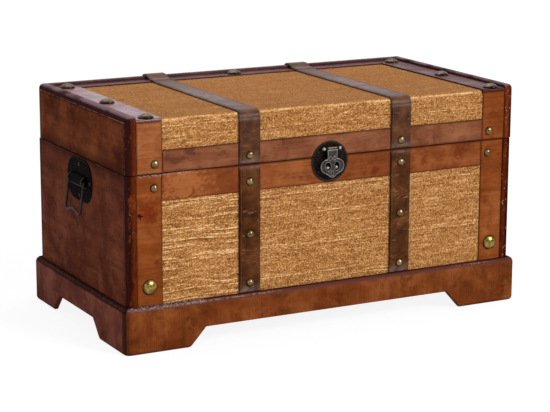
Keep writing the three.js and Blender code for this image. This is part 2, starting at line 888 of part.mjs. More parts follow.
// A small block under the bail's leg, which holds the bail a little off the wall
function handleStop(end) {
  const low = (end * bailWidth) / 2 - stopWidth / 2;
  const bottom = handleHeight - stopDrop - stopHeight / 2;
  const lean = stopDrop * Math.tan(THREE.MathUtils.degToRad(bailTilt));
  const stopReach = bailX + lean - bailWire / 2 - bailPlay;
  return block([handleWall, low, bottom], [stopReach, low + stopWidth, bottom + stopHeight]);
}

function handlePlate(sign) {
  const side = handlePlateLength / 2;
  const bottom = handleHeight - handlePlateHeight / 2;
  const top = handleHeight + handlePlateHeight / 2;
  const outline = rectangle(-side, bottom, side, top, handlePlateRound);
  const plate = prism(outline, 'x', handleWall, handlePlateFace);
  const solid = joined([plate, handleBracket(), handleStop(-1), handleStop(1)]);
  return sign > 0 ? solid : solid.rotate([0, 0, 180]);
}

// The bail's wire: in from one bracket end, down a leg, along the bow and back up
function bailSolid() {
  const legY = bailWidth / 2;
  const seatY = bracketLength / 2 - bailSeat;
  const bottom = -bailDrop;
  const bow = [];
  const bowHalf = legY - bailCorner;
  for (let step = 0; step <= bowSteps; step += 1) {
    const share = step / bowSteps;
    const lift = (bailBow / 2) * (1 - Math.cos(2 * Math.PI * share));
    bow.push(new THREE.Vector3(0, bowHalf * (1 - 2 * share), bottom + lift));
  }
  const bend = bailCorner * (1 - Math.SQRT1_2);
  const topCorner = legY - bracketLength / 2;
  const topBend = topCorner * (1 - Math.SQRT1_2);
  const half = [
    new THREE.Vector3(0, seatY, 0),
    new THREE.Vector3(0, legY - topCorner, 0),
    new THREE.Vector3(0, legY - topBend, -topBend),
    new THREE.Vector3(0, legY, -topCorner),
    new THREE.Vector3(0, legY, (bottom + bailCorner - topCorner) / 2),
    new THREE.Vector3(0, legY, bottom + bailCorner),
    new THREE.Vector3(0, legY - bend, bottom + bend),
  ];
  const mirrored = half.map((point) => new THREE.Vector3(0, -point.y, point.z)).reverse();
  const route = new THREE.CatmullRomCurve3([...half, ...bow, ...mirrored], false, 'centripetal');
  const section = new THREE.Shape(ellipse(0, 0, bailWire, bailWire, wireSides));
  const sweep = { steps: bailSteps, bevelEnabled: false, extrudePath: route };
  return solidOf(new THREE.ExtrudeGeometry(section, sweep));
}

function addBail(name, sign) {
  const pivot = new THREE.Group();
  pivot.position.set(sign * bailX, 0, handleHeight);
  pivot.rotation.y = -sign * THREE.MathUtils.degToRad(bailTilt);
  body.add(pivot);
  addPart(pivot, name, bailSolid(), darkBronze);
}

// Hinges: the lower leaf carries the two outer knuckles and the pin, the upper leaf the middle one
const hingeX = halfLength - hingeInset;
const hingeY = halfDepth + hingeStandoff;
const hingeZ = seamHeight;
const leafBack = halfDepth + glueGap;

function hingeRod(diameter, x, length) {
  return rod(diameter, [x - length / 2, hingeY, hingeZ], axisX, length);
}

function hingeLeaf(x, bottom, top) {
  const half = hingeLength / 2;
  return block([x - half, leafBack, bottom], [x + half, leafBack + hingeLeafThickness, top]);
}

function hingeUpper(x) {
  const leaf = hingeLeaf(x, hingeZ, hingeZ + hingeLeafHeight);
  const room = hingeRod(hingeBarrelDiameter + 2 * hingePlay, x, hingeLength + 2 * overrun);
  const middle = hingeRod(hingeBarrelDiameter + 2 * overrun, x, hingeKnuckle);
  const cleared = leaf.subtract(room.subtract(middle));
  const bore = hingeRod(hingePinDiameter + 2 * hingePlay, x, hingeKnuckle + 2 * overrun);
  return cleared.add(hingeRod(hingeBarrelDiameter, x, hingeKnuckle)).subtract(bore);
}

function hingeLower(x) {
  const leaf = hingeLeaf(x, hingeZ - hingeLeafHeight, hingeZ);
  const room = hingeRod(hingeBarrelDiameter + 2 * hingePlay, x, hingeKnuckle + 2 * hingePlay);
  const barrel = hingeRod(hingeBarrelDiameter, x, hingeLength);
  return leaf.add(barrel).subtract(room).add(hingeRod(hingePinDiameter, x, hingeLength));
}

// Stays: a slotted arm turns on a pivot in the lid and slides on a stud in the body.
// Stud and pivot are equally far from the hinge, so the arm turns half as far as the lid.
const stayTurn = THREE.MathUtils.degToRad(stayAngle);
const stayY = hingeY - stayRadius * Math.cos(stayTurn);
const stayStudZ = hingeZ - stayRadius * Math.sin(stayTurn);
const stayPivotZ = hingeZ + stayRadius * Math.sin(stayTurn);
const stayReach = 2 * stayRadius * Math.sin(stayTurn + THREE.MathUtils.degToRad(openAngle) / 2);
const stayOuter = innerHalf - stayInset;
const stayInner = stayOuter - stayThickness;

// A flanged stud from a board's inner face through the arm, with a head beyond it
function staySolid(boardX, sign, z) {
  const shaft = stayStudDiameter / 2;
  const flange = stayFlangeDiameter / 2;
  const head = stayHeadDiameter / 2;
  const toArm = boardX - glueGap - stayOuter - stayPlay;
  const pastArm = toArm + stayThickness + 2 * stayPlay;
  const end = pastArm + stayHeadThickness;
  const profile = [
    [0, 0],
    [flange, 0],
    [flange, toArm],
    [shaft, toArm],
    [shaft, pastArm],
    [head, pastArm],
    [head, end],
    [0, end],
  ];
  const inward = axisX.clone().multiplyScalar(-sign);
  return turned(profile, [sign * (boardX - glueGap), stayY, z], inward, rodSides);
}

function stayArm(sign) {
  const half = stayWidth / 2;
  const gap = stayStudDiameter + 2 * stayPlay;
  const slotTop = stayStudZ;
  const slotBottom = stayPivotZ - stayReach;
  const outline = stadium(stayY, slotBottom - stayPlay, stayPivotZ, 2 * half);
  const slot = stadium(stayY, slotBottom - stayPlay, slotTop + stayPlay, gap);
  const eye = ellipse(stayY, stayPivotZ, gap, gap, rodSides);
  const start = sign > 0 ? stayInner : -stayOuter;
  return prism(outline, 'x', start, start + stayThickness, [slot, eye]);
}

// Assembly
addPart(body, 'body_floor', bodyFloor(), innerWood);
addPart(body, 'body_front', bodyFront(), innerWood);
addPart(body, 'body_back', bodyBack(), sideWood);
addPart(body, 'body_front_rail', bodyRail(), railWood);
addPart(body, 'body_weave', bodyWeave(), seagrass);
addPart(body, 'plinth_front', plinthBoard(plinthFrontPlan(), longArch), plinthWood);
addPart(body, 'plinth_back', plinthBoard(plinthBackPlan(), longArch), plinthWood);
addPart(body, 'latch_lower_plate', latchLowerPlate(), darkBronze);
addPart(lidBoards, 'lid_front', lidFront(), innerWood);
addPart(lidBoards, 'lid_top', lidTop(), innerWood);
addPart(lidBoards, 'lid_back', lidBack(), rimWood);
addPart(lidBoards, 'lid_front_rail', lidRail(), railWood);
addPart(lidBoards, 'lid_strip_back', lidBackStrip(), rimWood);
addPart(lidBoards, 'lid_weave', lidWeave(), seagrass);
addPart(lidBoards, 'lid_strip_back_nail', nailSolid(backStripNail), antiqueBrass);
addPart(lid, 'latch_upper_plate', latchUpperPlate(), darkBronze);
addPart(lid, 'latch_pin', latchPin(), pewter);
addPart(lid, 'latch_hasp', latchHasp(), pewter);

for (const { name, sign } of sides) {
  const strapInset = sign < 0 ? strapLeftInset : strapRightInset;
  const strapX = sign * (halfLength - strapInset);
  const nailLift = sign < 0 ? 0 : strapRightNailLift;
  const boardX = innerHalf + sign * lidShift;
  addPart(body, `body_${name}_end`, bodyEnd(sign), sideWood);
  addPart(body, `body_${name}_post`, bodyPost(sign), frontWood);
  addPart(body, `plinth_${name}`, plinthBoard(plinthSidePlan(sign), shortArch), plinthWood);
  addPart(body, `body_${name}_strap`, bodyStrap(strapX, nailLift), leather);
  addPart(body, `handle_${name}_plate`, handlePlate(sign), darkBronze);
  addBail(`handle_${name}_bail`, sign);
  addPart(body, `hinge_${name}_lower`, hingeLower(sign * hingeX), antiqueBrass);
  addPart(body, `stay_${name}_stud`, staySolid(innerHalf, sign, stayStudZ), antiqueBrass);
  addPart(lidBoards, `lid_${name}_end`, lidEnd(sign), sideWood);
  addPart(lidBoards, `lid_${name}_post`, lidPost(sign), frontWood);
  addPart(lidBoards, `lid_${name}_strip`, lidStrip(sign), rimWood);
  addPart(lid, `lid_${name}_strap`, lidStrap(strapX), leather);
  addPart(lid, `hinge_${name}_upper`, hingeUpper(sign * hingeX), antiqueBrass);
  addPart(lid, `stay_${name}_pivot`, staySolid(boardX, sign, stayPivotZ), antiqueBrass);
  addPart(lid, `stay_${name}_arm`, stayArm(sign), antiqueBrass);
  addNails(body, `body_${name}_`, bodyPostNails(sign));
  addNails(lidBoards, `lid_${name}_`, lidPostNails(sign));
  addNails(lidBoards, `lid_${name}_`, stripNails(sign));
}

export default chest;
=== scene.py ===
import json
import math

import bpy
import numpy as np
from mathutils import Matrix, Vector

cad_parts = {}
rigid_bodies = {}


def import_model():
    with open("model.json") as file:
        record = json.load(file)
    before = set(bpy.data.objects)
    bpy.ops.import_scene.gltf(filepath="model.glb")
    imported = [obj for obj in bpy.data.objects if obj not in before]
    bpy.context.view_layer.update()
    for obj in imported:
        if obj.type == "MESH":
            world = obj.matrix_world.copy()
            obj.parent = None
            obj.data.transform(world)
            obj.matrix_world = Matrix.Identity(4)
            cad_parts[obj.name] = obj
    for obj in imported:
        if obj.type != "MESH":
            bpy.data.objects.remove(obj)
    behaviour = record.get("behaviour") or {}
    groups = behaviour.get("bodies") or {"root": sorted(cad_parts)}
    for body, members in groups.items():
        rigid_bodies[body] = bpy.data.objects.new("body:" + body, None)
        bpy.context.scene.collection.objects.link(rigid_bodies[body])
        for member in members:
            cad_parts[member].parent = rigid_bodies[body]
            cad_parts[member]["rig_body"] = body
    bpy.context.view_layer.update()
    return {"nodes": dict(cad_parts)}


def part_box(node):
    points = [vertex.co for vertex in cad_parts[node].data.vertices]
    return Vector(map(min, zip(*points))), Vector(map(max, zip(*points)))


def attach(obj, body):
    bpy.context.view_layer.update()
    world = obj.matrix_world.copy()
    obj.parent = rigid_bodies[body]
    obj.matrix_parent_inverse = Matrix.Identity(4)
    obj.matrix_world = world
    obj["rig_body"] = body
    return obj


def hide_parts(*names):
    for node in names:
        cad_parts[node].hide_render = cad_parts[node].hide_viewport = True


# Looks of a sea chest: woven panels, strap leather, domed nails, latch, handles and hinges.
# +Z is up and -Y is the front. Sizes are in millimetres, and MM turns them into metres.
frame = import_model()
nodes = frame["nodes"]
MM = 0.001
AXIS_X = Vector((1, 0, 0))
FRONT = Vector((0, -1, 0))
BACK = Vector((0, 1, 0))
UP = Vector((0, 0, 1))
SIDES = (("left", -1), ("right", 1))


def box(name):
    """The low and the high corner of a node"""
    return [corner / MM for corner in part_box(name)]


def placed(name, data):
    thing = bpy.data.objects.new(name, data)
    bpy.context.scene.collection.objects.link(thing)
    return thing


# Camera, in metres, as fitted to the chest's edges
CAMERA_PLACE = (-1.550033, -2.909139, 0.924614)
CAMERA_AZIMUTH = math.radians(28.0561)
CAMERA_DIP = math.radians(12.8871)
CAMERA_ROLL = math.radians(0.1848)
CAMERA_LENS = 124.478
CAMERA_SENSOR = 36


def make_camera():
    data = bpy.data.cameras.new("camera")
    data.lens = CAMERA_LENS
    data.sensor_width = CAMERA_SENSOR
    data.clip_end = 100
    camera = placed("camera", data)
    turn = Matrix.Rotation(-CAMERA_AZIMUTH, 4, "Z") @ Matrix.Rotation(math.pi / 2 - CAMERA_DIP, 4, "X")
    camera.matrix_world = Matrix.Translation(CAMERA_PLACE) @ turn @ Matrix.Rotation(CAMERA_ROLL, 4, "Z")
    bpy.context.scene.camera = camera


make_camera()


# Materials
def operation(name, swapped=False):
    def result(first, second=0.0):
        pair = (second, first) if swapped else (first, second)
        return first.shader.add("ShaderNodeMath", dict(enumerate(pair)), operation=name)
    return result


class Value:
    """What a node gives, ready for more sums"""

    def __init__(self, shader, socket):
        self.shader = shader
        self.socket = socket

    __add__ = __radd__ = operation("ADD")
    __sub__ = operation("SUBTRACT")
    __rsub__ = operation("SUBTRACT", swapped=True)
    __mul__ = __rmul__ = operation("MULTIPLY")
    least = operation("MINIMUM")
    most = operation("MAXIMUM")
    size = operation("ABSOLUTE")

    def rise(self, low, high, to_low=0.0, to_high=1.0):
        """Passes smoothly from to_low at the value low to to_high at the value high"""
        inputs = {"Value": self, "From Min": low, "From Max": high, "To Min": to_low, "To Max": to_high}
        return self.shader.add("ShaderNodeMapRange", inputs, interpolation_type="SMOOTHSTEP")

    def fall(self, low, high):
        return self.rise(low, high, 1.0, 0.0)

    def line(self, level, width):
        """1 on the thin lines where the value passes a level, and 0 away from them"""
        return (self - level).size().fall(0.0, width)


def linear(tone):
    """Blender's linear colour of a tone, which is written as it looks on a screen, from 0 to 255"""
    if isinstance(tone, Value) or len(tone) == 4:
        return tone
    shares = [part / 255 for part in tone]
    return (*(share / 12.92 if share <= 0.04045 else ((share + 0.055) / 1.055) ** 2.4 for share in shares), 1)


def deeper(tone, share):
    return (*(share * part for part in linear(tone)[:3]), 1)


class Shader:
    """The nodes of one material, or of the world. Its tone is what the layers are laid over."""

    def __init__(self, name, library=bpy.data.materials):
        self.material = library.new(name)
        self.material.use_nodes = True
        self.tree = self.material.node_tree
        self.tree.nodes.clear()
        self.place = self.add("ShaderNodeTexCoord", output="Object")
        self.tone = None

    def add(self, kind, inputs=None, output=0, **settings):
        """Adds a node and returns the value of one output, or the node where the output is None"""
        node = self.tree.nodes.new(kind)
        for name, value in settings.items():
            setattr(node, name, value)
        for name, value in (inputs or {}).items():
            if isinstance(value, Value):
                self.tree.links.new(value.socket, node.inputs[name])
            else:
                node.inputs[name].default_value = value
        return node if output is None else Value(self, node.outputs[output])

    def mix(self, factor, first, second):
        inputs = {0: factor, 6: linear(first), 7: linear(second)}
        return self.add("ShaderNodeMix", inputs, 2, data_type="RGBA")

    def lay(self, mask, tone, strength=1.0):
        self.tone = self.mix(mask * strength, self.tone, tone)

    def ramp(self, value, positions, tones):
        node = self.add("ShaderNodeValToRGB", {0: value}, None)
        elements = node.color_ramp.elements
        elements.remove(elements[1])
        elements[0].position, elements[0].color = positions[0], linear(tones[0])
        for position, tone in zip(positions[1:], tones[1:]):
            elements.new(position).color = linear(tone)
        return Value(self, node.outputs[0])

    def scaled(self, per_metre, offset):
        scale = per_metre if isinstance(per_metre, tuple) else (per_metre,) * 3
        return self.add("ShaderNodeMapping", {"Vector": self.place, "Scale": scale, "Location": offset})

    def noise(self, per_metre, offset=(0, 0, 0), detail=2, roughness=0.5, distortion=0.0):
        """Soft noise. per_metre is one number, or one for each axis"""
        inputs = {"Vector": self.scaled(per_metre, offset), "Scale": 1, "Detail": detail}
        inputs.update({"Roughness": roughness, "Distortion": distortion})
        return self.add("ShaderNodeTexNoise", inputs)

    def cells(self, per_metre):
        inputs = {"Vector": self.scaled(per_metre, (0, 0, 0)), "Scale": 1}
        return self.add("ShaderNodeTexVoronoi", inputs, "Distance", feature="F1")

    def attribute(self, name):
        return self.add("ShaderNodeAttribute", output="Fac", attribute_name=name)

    def axes(self):
        """The place along x, y and z"""
        parts = self.add("ShaderNodeSeparateXYZ", {0: self.place}, None).outputs
        return [Value(self, part) * (1 / MM) for part in parts]

    def edge_distance(self, low, high):
        """Distance from the nearest edge of a box, on the box's surface"""
        limits = zip(self.axes(), low, high)
        x, y, z = ((value - start).least(end - value) for value, start, end in limits)
        return x + y + z - x.least(y).least(z) - x.most(y).most(z)

    def spot(self, centre, radius):
        """1 at a point and 0 past a radius"""
        inputs = {0: self.place, 1: Vector(centre) * MM}
        distance = self.add("ShaderNodeVectorMath", inputs, "Value", operation="DISTANCE")
        return distance.fall(0.0, radius * MM)

    def bump(self, height, depth, strength):
        inputs = {"Height": height, "Distance": depth * MM, "Strength": strength}
        return self.add("ShaderNodeBump", inputs)

    def finish(self, **sockets):
        inputs = {name.replace("_", " "): value for name, value in sockets.items()}
        surface = self.add("ShaderNodeBsdfPrincipled", {"Base Color": self.tone, **inputs})
        self.add("ShaderNodeOutputMaterial", {"Surface": surface}, None)
        return self.material


# Wood: stained boards under a thin satin lacquer. Noises are given by how many lumps a metre holds.
GRAIN = (14, 420)
FIGURE = (5, 75)
STAIN = 15
SEED_SHIFT = (1.37, 0.71, 2.13)
RAMP_STOPS = (0.32, 0.5, 0.68)
SCUFF = (198, 162, 142)
WORN_GREY = (182, 164, 160)
SOOT = (30, 12, 8)
EDGE_STAIN = (46, 18, 12)
MOULDING = (58, 25, 25)
MOULDING_SHADE = (38, 16, 12)
MOULDING_TOP_HIGHLIGHT = (146, 116, 122)
KNOT_RED = (112, 44, 16)
KNOT_DARK = (40, 12, 6)
RUB_WIDTH = 2.6
WORN_FADE = 12


def along(axis, lengthwise, crosswise):
    return tuple(lengthwise if name == axis else crosswise for name in "xyz")


class Board(Shader):
    """A stained board. Each method lays one more thing over its tone."""

    def __init__(self, name, tones, grain, shares, seed):
        super().__init__("wood_" + name)
        self.low, self.high = box(name)
        self.shift = tuple(seed * step for step in SEED_SHIFT)
        self.tones = tones
        self.grain = grain
        figure = self.field(along(grain, *FIGURE), 0, 3, 0.55, 0.6)
        self.fine = self.field(along(grain, *GRAIN), 0, 3, 0.6)
        self.stain = self.field(STAIN, 0, 4, 0.6, 0.4)
        self.edge = self.edge_distance(self.low, self.high)
        value = shares[0] * self.fine + shares[1] * figure + shares[2] * self.stain
        self.tone = self.ramp(value, RAMP_STOPS, tones)

    def field(self, per_metre, offset=0, *settings):
        x, y, z = self.shift
        return self.noise(per_metre, (x + offset, y, z), *settings)

    def uneven(self, value, reach):
        return value + reach * (self.stain - 0.5)

    def mottled(self, amount):
        """Cloudy stain, darker and lighter, with short dark marks along the grain"""
        dark, _, light = self.tones
        self.lay(self.field((30, 30, 38), 3, 5, 0.68, 0.7).rise(0.50, 0.68), deeper(dark, 0.75), amount)
        self.lay(self.field((21, 21, 27), 7, 4, 0.65).rise(0.52, 0.70), light, 0.9 * amount)
        self.lay(self.field(along(self.grain, 95, 700), 11, 1).rise(0.62, 0.72), deeper(dark, 0.55), 0.45)

    def shaded(self, width, amount):
        """Darker stain toward the edges"""
        self.lay(self.edge.fall(0.0, (self.stain + 0.45) * width), EDGE_STAIN, amount)

    def moulded(self, width, has_top, scuffed):
        """The dark rounded front and top edges of an end board, a broken pale line behind them, and on a
        lid's end a painted highlight along the top of the roll
        """
        _, y, z = self.axes()
        depth, below = y - self.low.y, self.high.z - z
        if has_top:
            depth = depth.least(below)
        drift = self.uneven(depth, 5)
        self.lay(drift.fall(width, width + 7), MOULDING_SHADE, 0.55)
        self.lay(drift.fall(width - 1.6, width + 1.2), MOULDING, 0.8)
        if has_top:
            # Painted highlight: a lighter mauve line along the top of the roll
            painted_sheen = self.field((16, 16, 60), 9, 3).rise(0.35, 0.6)
            self.lay(below.fall(0.5, 4.2) * painted_sheen, MOULDING_TOP_HIGHLIGHT, 0.75)
        broken = self.field(60, 5, 5, 0.8).rise(0.45, 0.58)
        self.lay(depth.line(width + 0.6, 0.9) * broken, SCUFF, scuffed)

    def faced(self, outer, inner, highlight, specks):
        """The narrow front face of an end board, from its outer to its inner side"""
        x, y, _ = self.axes()
        ends = (0.0, 1.0) if self.low.x < 0 else (1.0, 0.0)
        cloud = self.field((50, 50, 22), 2, 5, 0.7, 0.4)
        drift = x.rise(self.low.x, self.high.x, *ends) + 1.2 * (cloud - 0.5)
        face = self.mix(drift.rise(0.25, 0.80), outer, inner)
        face = self.mix(cloud.rise(0.50, 0.68, 0.0, 0.55), face, SOOT)
        # Painted highlights: lighter orange-red patches laid over the front face where its gloss catches the
        # light
        glow = self.field((60, 60, 26), 6, 5, 0.75)
        face = self.mix(glow.rise(0.52, 0.68, 0.0, 0.7), face, highlight)
        face = self.mix(self.field(230, 4, 1).rise(0.68, 0.72, 0.0, specks), face, SCUFF)
        self.lay(y.fall(self.low.y + 0.3, self.low.y + 3.5), face)

    def knotted(self, *knots):
        for number, (centre, radius, tone, strength) in enumerate(knots):
            rings = self.field((62, 62, 80), 13 + number, 5, 0.7, 1.6)
            ball = self.spot(centre, radius * 1.5)
            torn = ball + 3.2 * (rings - 0.5)
            self.lay(torn.rise(0.38, 0.95) * ball.rise(0.0, 0.30), tone, strength)

    def capped(self, depth, stain, rubbing):
        """A plinth board's rounded top, darker (part stain, part painted shade), with broken pale rubs, and
        painted shade along its inner edge against the body
        """
        below = self.high.z - self.axes()[2]
        # The band over the rounded top, in a darker tone: partly stain, partly painted shade
        self.lay(self.uneven(below, 4).fall(depth - 1.6, depth + 1.4), stain, 0.85)
        # Painted shadow: the top's inner edge, against the body, darkened as the gap under the body
        self.lay(below.fall(0.3, 1.2), EDGE_STAIN, 0.85)
        broken = self.field(260, 4, 4, 0.75).rise(0.44, 0.60)
        region = self.field(6, 8, 1).rise(0.42, 0.56)
        self.lay(below.line(2.6, 2.0) * broken * region, SCUFF, rubbing)

    def cornered(self, depth):
        """The dark stained upright edge at the front end of a side board"""
        behind = self.axes()[1] - self.low.y
        self.lay(self.uneven(behind, 4).fall(depth - 1.5, depth + 3.0), MOULDING_SHADE, 0.7)

    def worn(self, start, end, depth):
        """Grey worn flecks along a stretch of a board's top edge"""
        x, _, z = self.axes()
        stretch = (x - start).least(end - x).rise(0.0, WORN_FADE)
        near = (self.high.z - z).fall(0.4 * depth, depth)
        flecks = self.field((330, 330, 520), 5, 3, 0.7).rise(0.48, 0.57)
        self.lay(near * stretch * flecks, WORN_GREY, 0.55)

    def rubbed(self, amount):
        """Pale broken rubs along the edges"""
        broken = self.field(38, 0, 4, 0.7).rise(0.60 - 0.12 * amount, 0.70)
        speckle = self.field(700).rise(0.42, 0.6)
        self.lay(broken * speckle * self.edge.fall(0.0, RUB_WIDTH), SCUFF, amount)

    def specked(self, amount):
        sparse = self.field(14, 6, 1).rise(0.45, 0.60)
        self.lay(self.field(310, 1, 0).rise(0.80, 0.83) * sparse, SCUFF, amount)

    def scratched(self, amount):
        """Faint long scratches, running down an end board at a slant"""
        warped = self.field(along(self.grain, 9, 30), 15, 1, 0.5, 0.3)
        parts = self.field(17, 12, 2).rise(0.52, 0.62)
        self.lay(warped.line(0.47, 0.004) * parts, self.tones[2], amount)

    def lacquered(self, shine, gloss):
        polish = self.field(30, 2, 3, 0.6)
        return self.finish(
            Roughness=polish.rise(0.3, 0.7, shine - 0.08, shine + 0.10), Specular_IOR_Level=gloss,
            Normal=self.bump(0.6 * self.fine + 0.8 * polish, 0.25, 0.5),
        )


LAYERS = (
    "mottled", "shaded", "capped", "cornered", "moulded", "faced", "knotted", "worn", "rubbed", "specked",
    "scratched",
)


def wood(name, seed, tones, grain="x", shares=(0.24, 0.26, 0.50), finish=(0.42, 0.03), **given):
    """A board's material. Each further setting names a layer and holds its values"""
    board = Board(name, tones, grain, shares, seed)
    given = {"mottled": [0.4], "shaded": [6, 0.55], **given}
    for layer in LAYERS:
        if layer in given:
            getattr(board, layer)(*given[layer])
    return board.lacquered(*finish)


POST_FACE = box("body_left_post")[0].y


def knot(x, z, radius, tone=KNOT_RED, strength=0.8):
    return (x, POST_FACE, z), radius, tone, strength


POST_TONES = ((106, 47, 15), (138, 70, 28), (168, 97, 50))
LID_POST_TONES = ((124, 64, 32), (160, 92, 51), (192, 126, 80))
RAIL_TONES = ((104, 47, 18), (138, 72, 36), (174, 104, 58))
LID_RAIL_TONES = ((98, 52, 34), (136, 80, 53), (166, 108, 74))
RIM_TONES = ((62, 30, 30), (92, 50, 50), (122, 76, 76))
# Lighter, mauver tones than the other strips: painted sheen on the left strip
LEFT_STRIP_SHEEN_TONES = ((94, 46, 48), (130, 74, 78), (160, 104, 108))
PLINTH_TONES = ((88, 38, 12), (124, 62, 26), (156, 90, 46))
PLINTH_SIDE_TONES = ((96, 46, 34), (126, 68, 54), (154, 94, 76))
INNER_TONES = ((104, 66, 40), (138, 92, 58), (166, 118, 78))
BACK_TONES = ((64, 29, 18), (94, 46, 29), (122, 66, 42))
LEFT_LID_FACE = ((58, 22, 16), (96, 38, 18), (124, 62, 34), 0.15)
LEFT_BODY_FACE = ((52, 18, 10), (96, 38, 13), (138, 66, 22), 0.1)
RIGHT_LID_FACE = ((60, 20, 9), (116, 46, 20), (164, 88, 46), 0.6)
RIGHT_BODY_FACE = ((44, 13, 6), (92, 32, 13), (140, 62, 24), 0.6)
FRONT_CAP = (6.5, (98, 53, 46), 0.55)
EDGE_BAND = 9.5
BOARD = dict(shaded=[3.5, 0.6])
END = dict(
    grain="y", shares=(0.12, 0.20, 0.68), mottled=[0.5], shaded=[20, 0.6], specked=[0.45], scratched=[0.35],
    finish=(0.42, 0.004),
)
BODY_END = dict(
    END, tones=((76, 33, 20), (108, 53, 35), (138, 78, 54)), moulded=[EDGE_BAND, False, 0.25], rubbed=[0.4],
)
LID_END = dict(
    END, tones=((76, 30, 14), (110, 52, 28), (146, 80, 44)), moulded=[EDGE_BAND, True, 0.7], rubbed=[0.5],
)
STRIP = dict(tones=RIM_TONES, mottled=[0.5], shaded=[5, 0.55], rubbed=[0.12])
PLINTH = dict(
    grain="z", shares=(0.16, 0.16, 0.68), mottled=[0.55], shaded=[8, 0.6], rubbed=[0.45], scratched=[0.3],
)
PLINTH_SIDE = dict(
    PLINTH, tones=PLINTH_SIDE_TONES, capped=(7.5, (46, 21, 18), 0.12), cornered=[9], finish=(0.42, 0.006),
)
INNER = dict(tones=INNER_TONES, shaded=[10, 0.55], finish=(0.66, 0.03))
# The seeds of the noises follow this order
WOODS = {
    "body_left_post": dict(BOARD, tones=POST_TONES, worn=(-354, -296, 5.5), knotted=[
        knot(-332, 236, 27, (122, 48, 20), 1.0), knot(-325, 225, 14), knot(-346, 229, 7, KNOT_DARK, 0.95),
        knot(-318, 150, 5, KNOT_DARK, 0.5),
    ]),
    "body_right_post": dict(BOARD, tones=POST_TONES, knotted=[knot(318, 190, 10, strength=0.5)]),
    "lid_left_post": dict(BOARD, tones=LID_POST_TONES),
    "lid_right_post": dict(BOARD, tones=POST_TONES, knotted=[knot(345, 345, 14, strength=0.4)]),
    "body_front_rail": dict(BOARD, tones=RAIL_TONES, mottled=[0.5], worn=(-312, -250, 4.0), knotted=[
        knot(-268, 274, 60, (186, 112, 64), 0.6), knot(262, 281, 20), knot(90, 262, 12),
        knot(190, 270, 12, strength=0.6),
    ]),
    "lid_front_rail": dict(BOARD, tones=LID_RAIL_TONES, mottled=[0.55], knotted=[
        knot(215, 322, 14, strength=0.5), knot(-258, 328, 13, (84, 38, 30), 0.7),
    ]),
    "body_left_end": dict(BODY_END, faced=LEFT_BODY_FACE),
    "body_right_end": dict(BODY_END, faced=RIGHT_BODY_FACE),
    "lid_left_end": dict(LID_END, faced=LEFT_LID_FACE),
    "lid_right_end": dict(LID_END, faced=RIGHT_LID_FACE),
    "body_back": dict(tones=BACK_TONES, shaded=[10, 0.55], finish=(0.42, 0.01)),
    "lid_back": dict(tones=RIM_TONES, shaded=[8, 0.55], rubbed=[0.5], finish=(0.34, 0.1)),
    "lid_left_strip": dict(STRIP, tones=LEFT_STRIP_SHEEN_TONES, grain="y", finish=(0.27, 0.36)),
    "lid_right_strip": dict(STRIP, grain="y", finish=(0.36, 0.08)),
    "lid_strip_back": dict(STRIP, finish=(0.34, 0.15)),
    "plinth_front": dict(PLINTH, tones=PLINTH_TONES, capped=FRONT_CAP, worn=(-376, -230, 6.5)),
    "plinth_back": dict(PLINTH, tones=PLINTH_SIDE_TONES, capped=FRONT_CAP),
    "plinth_left": PLINTH_SIDE,
    "plinth_right": PLINTH_SIDE,
    "body_floor": dict(INNER, shaded=[14, 0.55]),
    "body_front": INNER,
    "lid_front": INNER,
    "lid_top": dict(INNER, shaded=[14, 0.55]),
}
BOARD_ROUND = 0.7
HINGE_ROUND = 0.35
STAY_ROUND = 0.3


def softened(piece, width):
    """Rounds a piece's sharp edges a little and shades it smoothly"""
    weld = piece.modifiers.new("weld", "WELD")
    weld.merge_threshold = 0.002 * MM
    bevel = piece.modifiers.new("bevel", "BEVEL")
    bevel.width = width * MM
    bevel.segments = 2
    bevel.limit_method = "ANGLE"
    bevel.angle_limit = math.radians(38)
    weighted = piece.modifiers.new("weighted", "WEIGHTED_NORMAL")
    weighted.keep_sharp = False
    for face in piece.data.polygons:
        face.use_smooth = True


def dressed(name, material, width):
    """Gives a CAD solid its material and soft edges"""
    materials = nodes[name].data.materials
    materials.clear()
    materials.append(material)
    softened(nodes[name], width)


for number, (name, look) in enumerate(WOODS.items()):
    dressed(name, wood(name, number + 1, **look), BOARD_ROUND)


# Solids: each is its points and a list of arrays of faces, with 3, 4 or more corners a row
WALL_VALUE = 0.3


def unit(vectors):
    return vectors / np.linalg.norm(vectors, axis=-1, keepdims=True)


def carried(piece, body, replaces):
    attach(piece, body)
    if replaces:
        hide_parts(*replaces)
    return piece


def new_piece(name, solid, material, body, replaces=()):
    points, faces = solid
    mesh = bpy.data.meshes.new(name)
    sizes = np.concatenate([np.full(len(rows), rows.shape[1]) for rows in faces])
    corners = np.concatenate([rows.ravel() for rows in faces])
    mesh.vertices.add(len(points))
    mesh.vertices.foreach_set("co", np.asarray(points * MM, np.float32).ravel())
    mesh.loops.add(len(corners))
    mesh.loops.foreach_set("vertex_index", corners.astype(np.int32))
    mesh.polygons.add(len(sizes))
    mesh.polygons.foreach_set("loop_start", (np.cumsum(sizes) - sizes).astype(np.int32))
    mesh.polygons.foreach_set("use_smooth", np.ones(len(sizes), bool))
    mesh.update()
    mesh.validate()
    mesh.materials.append(material)
    return carried(placed(name, mesh), body, replaces)


def add_values(piece, name, values, others=WALL_VALUE):
    """Values for the material at a piece's first points, and one value for the others"""
    whole = np.full(len(piece.data.vertices), others, np.float32)
    whole[:values.size] = values.ravel()
    piece.data.attributes.new(name, "FLOAT", "POINT").data.foreach_set("value", whole)


def joined(solids):
    """Several solids as one"""
    starts = np.cumsum([0] + [len(points) for points, _ in solids])
    faces = [rows + start for (_, parts), start in zip(solids, starts) for rows in parts]
    return np.concatenate([points for points, _ in solids]), faces


